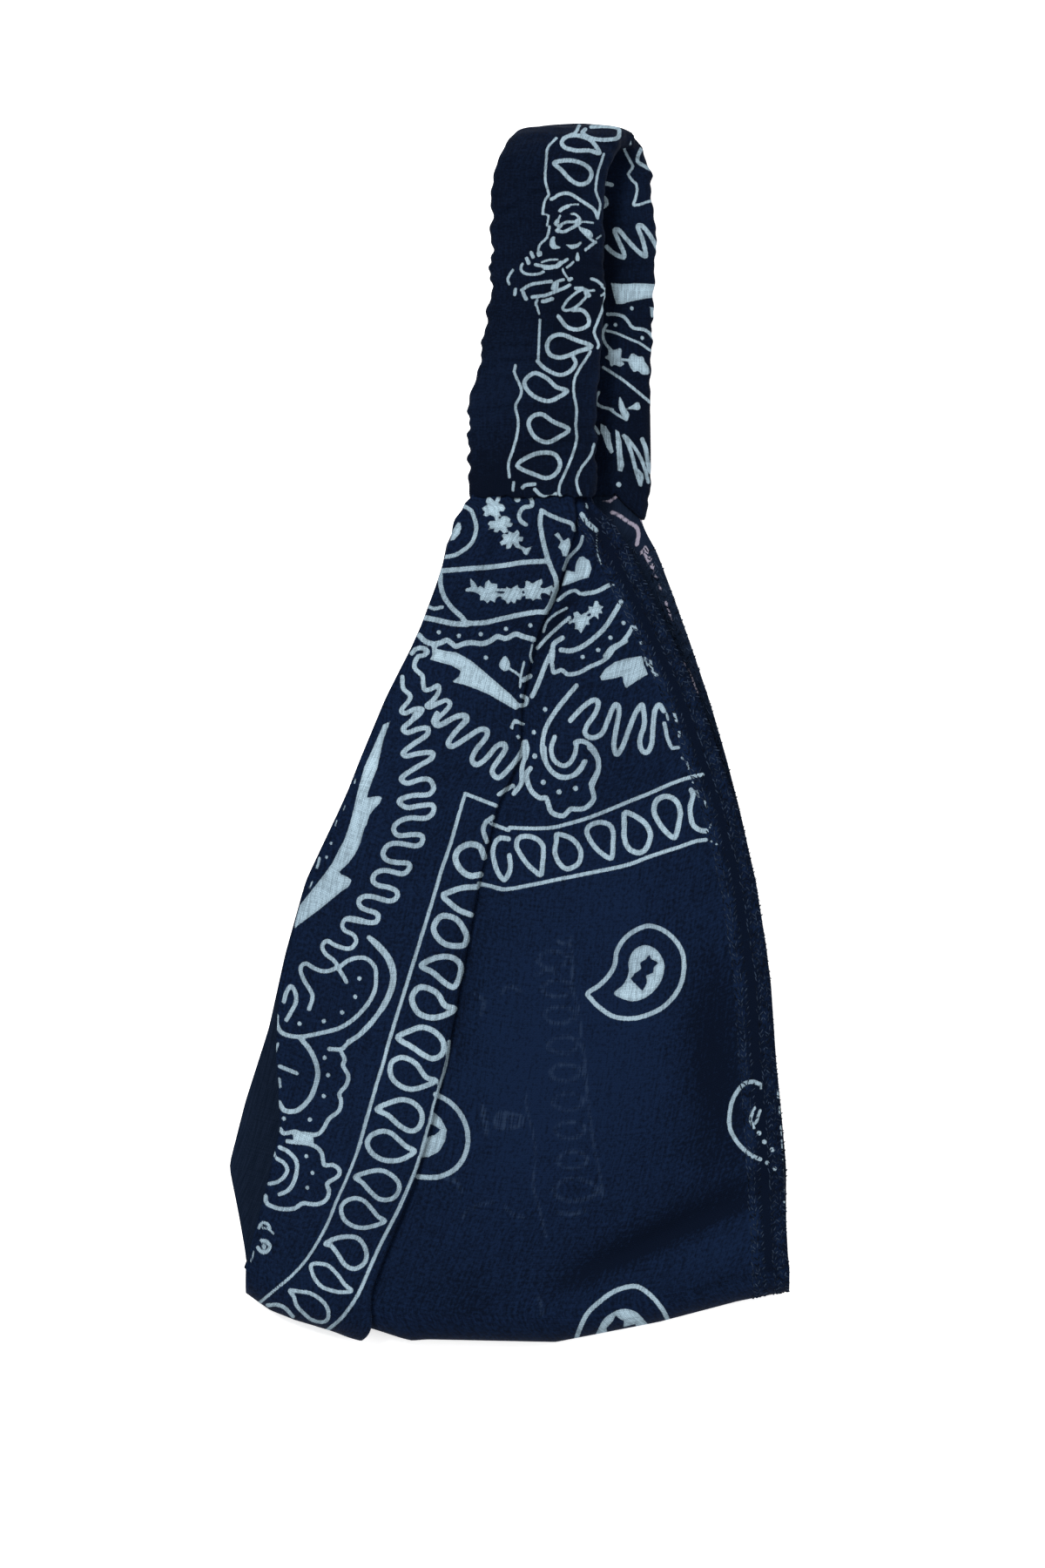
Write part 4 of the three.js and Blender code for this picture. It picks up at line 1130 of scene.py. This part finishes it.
def casing(material):
    """The casing: along it from its near end to its far end, cx and cn round it."""
    stations = np.linspace(0, CASING_LENGTH, int(CASING_LENGTH / CASING_STEP) + 1)
    cx, cn, normal, around = (closed(values) for values in flat_tube_outline(CASING_STEPS))
    along = stations[:, None] + 0 * cx[None, :]
    half_width = smooth_table(CASING_OUTLINE, stations, 2)[:, None]
    middle = smooth_table(CASING_OUTLINE, stations, 1)[:, None]
    to_end = np.minimum(along, CASING_LENGTH - along)
    fade = ramp(to_end, 0, 7)
    rim = 1 - ramp(to_end, -0.5, 1.2)
    relief = gathers(along, cx[None, :] * CASING_HALF_WIDTH, cn[None, :]) * fade
    edge = edge_bumps(along, np.sign(cx)[None, :] * 2) * np.abs(normal[:, 0]) ** 0.5 * fade
    x = half_width * cx + normal[:, 0] * edge - 0.35 * rim * cx
    turn = np.clip((along - NEAR_RUN) / CASING_BEND_RADIUS, 0, math.pi)
    straight = np.where(along < NEAR_RUN, along - NEAR_RUN, -np.maximum(0, along - NEAR_RUN - BEND_RUN))
    slant = np.clip(0.3 + FAR_END_SLANT * (1 - cx), 0, FAR_END_CUT)
    straight = straight + (along > NEAR_RUN + BEND_RUN) * (1 - ramp(to_end, 0, 15)) * slant
    straight = straight + (along < NEAR_RUN) * (1 - fade) * NEAR_END_CUT
    uneven = 0.8 * wander(21, cx[None, :] * 3.5, 0.5 * cn[None, :]) + 0.25 * np.sin(cx * 26)
    straight = straight + (1 - fade) * uneven
    relief = relief + 0.16 * (1 - fade) * np.sin(cx * 29 + 1.2 * np.sin(cx * 7)) * (1 - rim)
    half_height = mix(CASING_HALF_HEIGHT, CASING_END_HALF_HEIGHT, 1 - fade)
    n = half_height * cn + normal[:, 1] * relief - 0.3 * rim * cn

    def placed(x, n):
        reach = CASING_BEND_RADIUS + n
        y = CASING_BEND_Y + straight + np.sin(turn) * reach
        return np.stack([middle + x, y, CASING_BEND_Z + np.cos(turn) * reach], axis=2)

    outer = placed(x, n)
    world_x, world_y = outer[:, :, 0], outer[:, :, 1]
    far = along > NEAR_RUN + BEND_RUN / 2
    upward = np.where(far, cn[None, :] < 0, cn[None, :] >= 0)
    chart_x = np.where(upward, world_x, 2 * middle - world_x)
    near_print, far_print = (print_distance(part, chart_x, world_y) for part in "CD")
    ink = np.where(far == upward, far_print, near_print)
    printed = np.where(upward, CASING_STEP + 0.02, 0.8)
    limit = np.where(np.abs(ink) < PRINT_MARGIN, printed, np.where(upward, 0.6, 0.85))
    last_row = len(stations) - 1
    kept_rows = sorted(set(range(0, last_row + 1, CASING_INNER)) | {1, last_row - 1, last_row})
    kept_columns = list(range(0, len(cx), CASING_INNER))
    kept = np.ix_(kept_rows, kept_columns)
    inner_x = (half_width - WALL - 0.35) * cx
    inner_n = (CASING_HALF_HEIGHT - WALL - 0.15) * cn + 0 * along
    inner = placed(inner_x, inner_n)[kept]
    plain = np.full(ink.shape, FAR_FROM_INK)
    # The casing's tone varies at random; it has no painted light.
    pale = 0.5 * wander(31, along * 0.1, cx[None, :] * 1.5) - 0.25
    uv = np.stack([around[None, :] + 0 * along, along * GATHERED_CLOTH], axis=2)
    outer_values = {"ink": ink, "faded": plain, "wrong_side": 0 * plain, "pale": pale}
    inner_values = {key: plain[kept] for key in ("ink", "faded")}
    inner_values |= {"wrong_side": 1 + 0 * plain[kept], "pale": 0 * plain[kept]}
    # The columns run the other way round than the panel's, so they are turned about.
    outer_values = {key: field[:, ::-1] for key, field in outer_values.items()}
    sides = (outer[:, ::-1], outer_values), (inner[:, ::-1], inner_values)
    breaks = sorted(set(range(0, last_row + 1, 24)) | {last_row}), list(range(0, len(cx), 24))
    kept, limit, uv = (kept_rows, kept_columns), limit[:, ::-1], uv[:, ::-1]
    return walled_cloth("back_casing_cloth", *sides, kept, limit, breaks, uv, material, ring=True)


# ---- stitches ----


def stitches(name, runs, material):
    """Short uneven threads along runs: points, directions off the cloth, pitch, length and slant."""
    points, faces, uv = [], [], []
    chance = np.random.default_rng(41)
    sides, rings = 5, [(-1.0, 0.2), (-0.6, 0.9), (0.0, 1.0), (0.6, 0.9), (1.0, 0.2)]
    for line, up, pitch, length, slant in runs:
        run = np.concatenate([[0], np.cumsum(np.linalg.norm(np.diff(line, axis=0), axis=1))])
        for step in np.arange(pitch / 2, run[-1] - pitch, pitch):
            at = step + pitch * chance.uniform(-0.3, 0.3)
            place = np.array([np.interp(at, run, line[:, i]) for i in range(3)])
            ahead = np.array([np.interp(at + 0.5, run, line[:, i]) for i in range(3)])
            off = np.array([np.interp(at, run, up[:, i]) for i in range(3)])
            off /= np.linalg.norm(off)
            way = ahead - place
            way -= off * way.dot(off)
            way /= np.linalg.norm(way)
            side = np.cross(off, way)
            place = place + side * chance.uniform(-0.18, 0.18)
            place[2] = max(place[2], LOWEST_STITCH)
            turn = slant + chance.uniform(-0.25, 0.25)
            reach = length / 2 * chance.uniform(0.7, 1.25)
            wide = THREAD_RADIUS * chance.uniform(0.75, 1.15)
            turned = way * math.cos(turn) + side * math.sin(turn)
            side = np.cross(off, turned)
            start, last = len(points), len(points) + (len(rings) - 1) * sides
            for share, size in rings:
                bow = 0.5 * wide * (1 - share * share)
                for k in range(sides):
                    a = 2 * math.pi * k / sides
                    ring = (side * math.cos(a) + off * math.sin(a)) * wide * size
                    points.append(place + turned * share * reach + off * bow + ring)
                    uv.append((k, share))
            for ring_start in range(start, last, sides):
                for k in range(sides):
                    a, b = ring_start + k, ring_start + (k + 1) % sides
                    faces.append([a, b, b + sides, a + sides])
            faces.append(list(reversed(range(start, start + sides))))
            faces.append(list(range(last, last + sides)))
    return make_object(name, points, faces, {}, uv, material)


# ---- materials ----


def new_material(name):
    material = bpy.data.materials.new(name)
    material.use_nodes = True
    material.node_tree.nodes.clear()
    return material, material.node_tree


def put(tree, kind, inputs=(), **settings):
    """Adds a node; inputs are sockets or plain values, by place or name."""
    node = tree.nodes.new(kind)
    for key, value in settings.items():
        setattr(node, key, value)
    for key, value in inputs.items() if isinstance(inputs, dict) else enumerate(inputs):
        if isinstance(value, bpy.types.NodeSocket):
            tree.links.new(value, node.inputs[key])
        else:
            node.inputs[key].default_value = value
    return node


def plus(tree, *values):
    return put(tree, "ShaderNodeMath", values, operation="ADD").outputs[0]


def times(tree, *values):
    return put(tree, "ShaderNodeMath", values, operation="MULTIPLY").outputs[0]


def centred(tree, value, strength):
    """An even noise turned into one about nought, of some strength."""
    away = put(tree, "ShaderNodeMath", [value, 0.5], operation="SUBTRACT").outputs[0]
    return times(tree, away, strength)


def blend(tree, share, a, b):
    return put(tree, "ShaderNodeMix", {0: share, 6: a, 7: b}, data_type="RGBA").outputs[2]


def spread(tree, value, low, high, out_low=0.0, out_high=1.0):
    """The value's way from low to high, eased, as a way from out_low to out_high."""
    names = {"Value": value, "From Min": low, "From Max": high, "To Min": out_low, "To Max": out_high}
    return put(tree, "ShaderNodeMapRange", names, interpolation_type="SMOOTHSTEP").outputs[0]


def noise(tree, vector, scale, detail=2.0):
    names = {"Vector": vector, "Scale": scale, "Detail": detail}
    return put(tree, "ShaderNodeTexNoise", names).outputs[0]


def wave(tree, vector, scale, distortion, detail=2.0):
    names = {"Vector": vector, "Scale": scale, "Distortion": distortion, "Detail": detail}
    return put(tree, "ShaderNodeTexWave", names).outputs["Fac"]


def yarns(tree, vector, scale, detail):
    """Noise drawn out into threads: scale is how fine it is along each axis."""
    stretched = put(tree, "ShaderNodeMapping", {"Vector": vector, "Scale": scale}).outputs[0]
    return noise(tree, stretched, 1.0, detail)


def value_at_points(tree, name):
    return put(tree, "ShaderNodeAttribute", attribute_name=name).outputs["Fac"]


def object_place(tree):
    return put(tree, "ShaderNodeTexCoord").outputs["Object"]


def bump(tree, strength, distance, height):
    names = {"Strength": strength, "Distance": distance, "Height": height}
    return put(tree, "ShaderNodeBump", names).outputs[0]


def surface(tree, colour, roughness, specular, **more):
    """Ends a material with a plain surface; more names inputs with _ for each space."""
    names = {"Base Color": colour, "Roughness": roughness, "Specular IOR Level": specular}
    names |= {key.replace("_", " "): value for key, value in more.items()}
    shader = put(tree, "ShaderNodeBsdfPrincipled", names)
    put(tree, "ShaderNodeOutputMaterial", [shader.outputs[0]])


def woven(tree, weave, place, thread_pitch):
    """The weave's height and streaks at a place, with threads of this pitch."""
    threads = put(tree, "ShaderNodeGroup", node_tree=weave)
    tree.links.new(place, threads.inputs["Cloth"])
    threads.inputs["Thread"].default_value = thread_pitch
    return threads.outputs["Height"], threads.outputs["Streaks"]


def weave_group():
    """A plain weave: the height of its crossing threads, and the streaks of thicker and paler yarns."""
    group = bpy.data.node_groups.new("plain_weave", "ShaderNodeTree")
    group.interface.new_socket("Cloth", in_out="INPUT", socket_type="NodeSocketVector")
    group.interface.new_socket("Thread", in_out="INPUT", socket_type="NodeSocketFloat")
    group.interface.new_socket("Height", in_out="OUTPUT", socket_type="NodeSocketFloat")
    group.interface.new_socket("Streaks", in_out="OUTPUT", socket_type="NodeSocketFloat")
    given, made = group.nodes.new("NodeGroupInput"), group.nodes.new("NodeGroupOutput")
    cloth = given.outputs["Cloth"]
    axes = put(group, "ShaderNodeSeparateXYZ", [cloth])
    wobble = noise(group, cloth, 900.0)
    ways = []
    for axis, wobbling in ((0, 0.5), (1, 0.4)):
        sizes = [axes.outputs[axis], given.outputs["Thread"]]
        count = put(group, "ShaderNodeMath", sizes, operation="DIVIDE").outputs[0]
        turn = times(group, plus(group, count, times(group, wobble, wobbling)), math.pi)
        ways.append(put(group, "ShaderNodeMath", [turn], operation="SINE").outputs[0])
    crossing = times(group, *ways)
    raised = [put(group, "ShaderNodeMath", [way], operation="ABSOLUTE").outputs[0] for way in ways]
    height = plus(group, times(group, crossing, 0.35), times(group, *raised))
    lengthways = yarns(group, cloth, (2600.0, 160.0, 1.0), 3.0)
    crossways = yarns(group, cloth, (120.0, 2400.0, 1.0), 2.0)
    streaks = plus(group, times(group, lengthways, 0.7), times(group, crossways, 0.3))
    group.links.new(height, made.inputs["Height"])
    group.links.new(streaks, made.inputs["Streaks"])
    return group


def cloth_material(name, weave, navy):
    """Printed cotton: navy threads, ink with ragged edges, the faint print and the wrong side."""
    material, tree = new_material(name)
    cloth = put(tree, "ShaderNodeUVMap", uv_map="cloth").outputs[0]
    threads, yarn_streaks = woven(tree, weave, cloth, CLOTH_THREADS)
    streaks = spread(tree, yarn_streaks, 0.34, 0.66)
    patches = noise(tree, cloth, 55.0, 4.0)
    flecks = yarns(tree, cloth, (2600.0, 900.0, 1.0), 2.0)

    grain = centred(tree, noise(tree, cloth, 1500.0, 2.0), 2.6)
    share = plus(tree, times(tree, streaks, 0.6), times(tree, patches, 0.40))
    # Point values shift the navy: painted light and shade on the panel's folds, the layer under it showing
    # through, the hem's band and the casing's random tone.
    share = plus(tree, plus(tree, share, grain), value_at_points(tree, "pale"))
    share = put(tree, "ShaderNodeClamp", [share, -0.25, 1.6]).outputs[0]
    base = blend(tree, share, *navy)

    distance = value_at_points(tree, "ink")
    ragged = centred(tree, flecks, 1.5)
    ink = spread(tree, plus(tree, distance, ragged), 0.55, -0.55)
    soaked = spread(tree, plus(tree, streaks, flecks), 0.55, 1.25, 0.66, 1.0)
    deep = spread(tree, distance, -1.6, -4.0, 0.80, 1.0)
    # Painted shade in the low gaps between the threads, where the ink also lies thinner: the ink is dimmed
    # there.
    thread_gap_shade = spread(tree, threads, 0.0, 0.75, 0.68, 1.0)
    cover = times(tree, times(tree, ink, soaked), times(tree, deep, thread_gap_shade))
    ink_colour = blend(tree, spread(tree, patches, 0.3, 0.7), INK_LOW, INK_HIGH)
    printed = blend(tree, cover, base, ink_colour)

    faint = value_at_points(tree, "faded")
    faint_edge = plus(tree, faint, centred(tree, flecks, 4.5))
    shown_threads = spread(tree, streaks, 0.15, 0.95, 0.005, 0.125)
    faint_share = times(tree, spread(tree, faint_edge, 1.8, -1.8), shown_threads)
    right_side = blend(tree, faint_share, printed, FAINT_INK)
    lilac = times(tree, spread(tree, plus(tree, faint, ragged), 0.6, -0.8), 0.9)
    wrong_side = blend(tree, lilac, blend(tree, streaks, *WRONG_SIDE), LILAC)
    colour = blend(tree, value_at_points(tree, "wrong_side"), right_side, wrong_side)

    relief = bump(tree, 0.6, 0.00010, plus(tree, threads, times(tree, flecks, 0.6)))
    sheen = {"Sheen_Weight": 0.012, "Sheen_Roughness": 0.5, "Sheen_Tint": (0.30, 0.45, 0.8, 1)}
    surface(tree, colour, 0.9, 0.03, Normal=relief, **sheen)
    return material


def thread_material():
    material, tree = new_material("sewing_thread")
    place = object_place(tree)
    twist = wave(tree, place, 2600.0, 2.0, 1.0)
    uneven = spread(tree, noise(tree, place, 620.0, 3.0), 0.35, 0.72)
    colour = blend(tree, uneven, *SEWING_THREAD)
    surface(tree, colour, 0.85, 0.05, Normal=bump(tree, 0.4, 0.00004, twist))
    return material


def elastic_material(weave):
    material, tree = new_material("ribbed_elastic")
    place = object_place(tree)
    threads, streaks = woven(tree, weave, place, ELASTIC_THREADS)
    ribs = wave(tree, place, 300.0, 0.4)
    colour = blend(tree, streaks, *ELASTIC)
    relief = bump(tree, 0.6, 0.00015, plus(tree, ribs, times(tree, threads, 0.4)))
    surface(tree, colour, 0.75, 0.25, Normal=relief)
    return material


def floor_material():
    material, tree = new_material("studio_floor")
    colour = blend(tree, noise(tree, object_place(tree), 3.0), *FLOOR)
    surface(tree, colour, 0.9, 0.1, Emission_Color=(1, 1, 1, 1), Emission_Strength=0.55)
    return material


weave = weave_group()
panel_cloth = cloth_material("navy_bandana_cotton", weave, PANEL_NAVY)
casing_cloth = cloth_material("navy_gathered_cotton", weave, CASING_NAVY)
thread = thread_material()

# ---- the object ----

panel, panel_outer, panel_normals, panel_zone, panel_half = front_panel(panel_cloth)
casing_piece = casing(casing_cloth)

# Stitches run down the front hem, and on the wrong side of the far half's, where that shows.
hem_column = int(np.flatnonzero(panel_zone == "front_hem")[0])
hem_y = panel_outer[:, hem_column, 1]
far_half = panel_half == "far"
shown = ~((hem_y > NEAR_SEAM_Y - 3) | (hem_y > FAR_SEAM_Y - 3) & far_half)
wrong_side = panel_outer - panel_normals * (WALL + HEM_EXTRA)
hem_runs = []
for share, pitch, length, slant in HEM_ROWS:
    column = hem_column + round(share * (HEM_STEPS - 1))
    line, up = panel_outer[shown, column], panel_normals[shown, column]
    hem_runs.append((line, up, pitch, length, slant))
    line, up = wrong_side[shown & far_half, column], -panel_normals[shown & far_half, column]
    hem_runs.append((line, up, pitch, length, -slant))
hem_stitches = stitches("hem_stitches", hem_runs, thread)

for piece, node in ((panel, "front_panel"), (casing_piece, "back_casing")):
    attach(piece, "root")
    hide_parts(node)
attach(hem_stitches, "root")

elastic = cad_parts["elastic_band"]
for place in elastic.material_slots:
    place.link = "OBJECT"
    place.material = elastic_material(weave)

# ---- studio ----

floor_mesh = bpy.data.meshes.new("studio_floor")
corners = [(-3, -3, 0), (3, -3, 0), (3, 3, 0), (-3, 3, 0)]
floor_mesh.from_pydata(corners, [], [[0, 1, 2, 3]])
floor_mesh.materials.append(floor_material())
floor = bpy.data.objects.new("studio_floor", floor_mesh)
bpy.context.collection.objects.link(floor)

world = bpy.data.worlds.new("soft_studio")
bpy.context.scene.world = world
world.use_nodes = True
background = world.node_tree.nodes["Background"]
background.inputs["Color"].default_value = (1.0, 1.0, 1.0, 1)
background.inputs["Strength"].default_value = 0.42


def soft_light(name, place, size, power):
    """A square light that looks at the origin."""
    data = bpy.data.lights.new(name, "AREA")
    data.size = size
    data.energy = power
    light = bpy.data.objects.new(name, data)
    bpy.context.collection.objects.link(light)
    light.location = place
    light.rotation_euler = (-Vector(place)).to_track_quat("-Z", "Y").to_euler()


soft_light("key", (-0.55, 0.65, 1.8), 0.5, 48.0)
soft_light("fill", (1.0, 0.1, 1.3), 1.0, 13.0)

camera_data = bpy.data.cameras.new("camera")
camera_data.lens = LENS
camera_data.sensor_width = SENSOR
camera_data.clip_end = 20.0
camera = bpy.data.objects.new("camera", camera_data)
bpy.context.collection.objects.link(camera)
camera.location = (*PICTURE_MIDDLE, PICTURE_PLANE + PICTURE_HEIGHT * LENS / SENSOR)
bpy.context.scene.camera = camera
bpy.context.scene.view_settings.view_transform = "Standard"
bpy.context.scene.view_settings.look = "None"
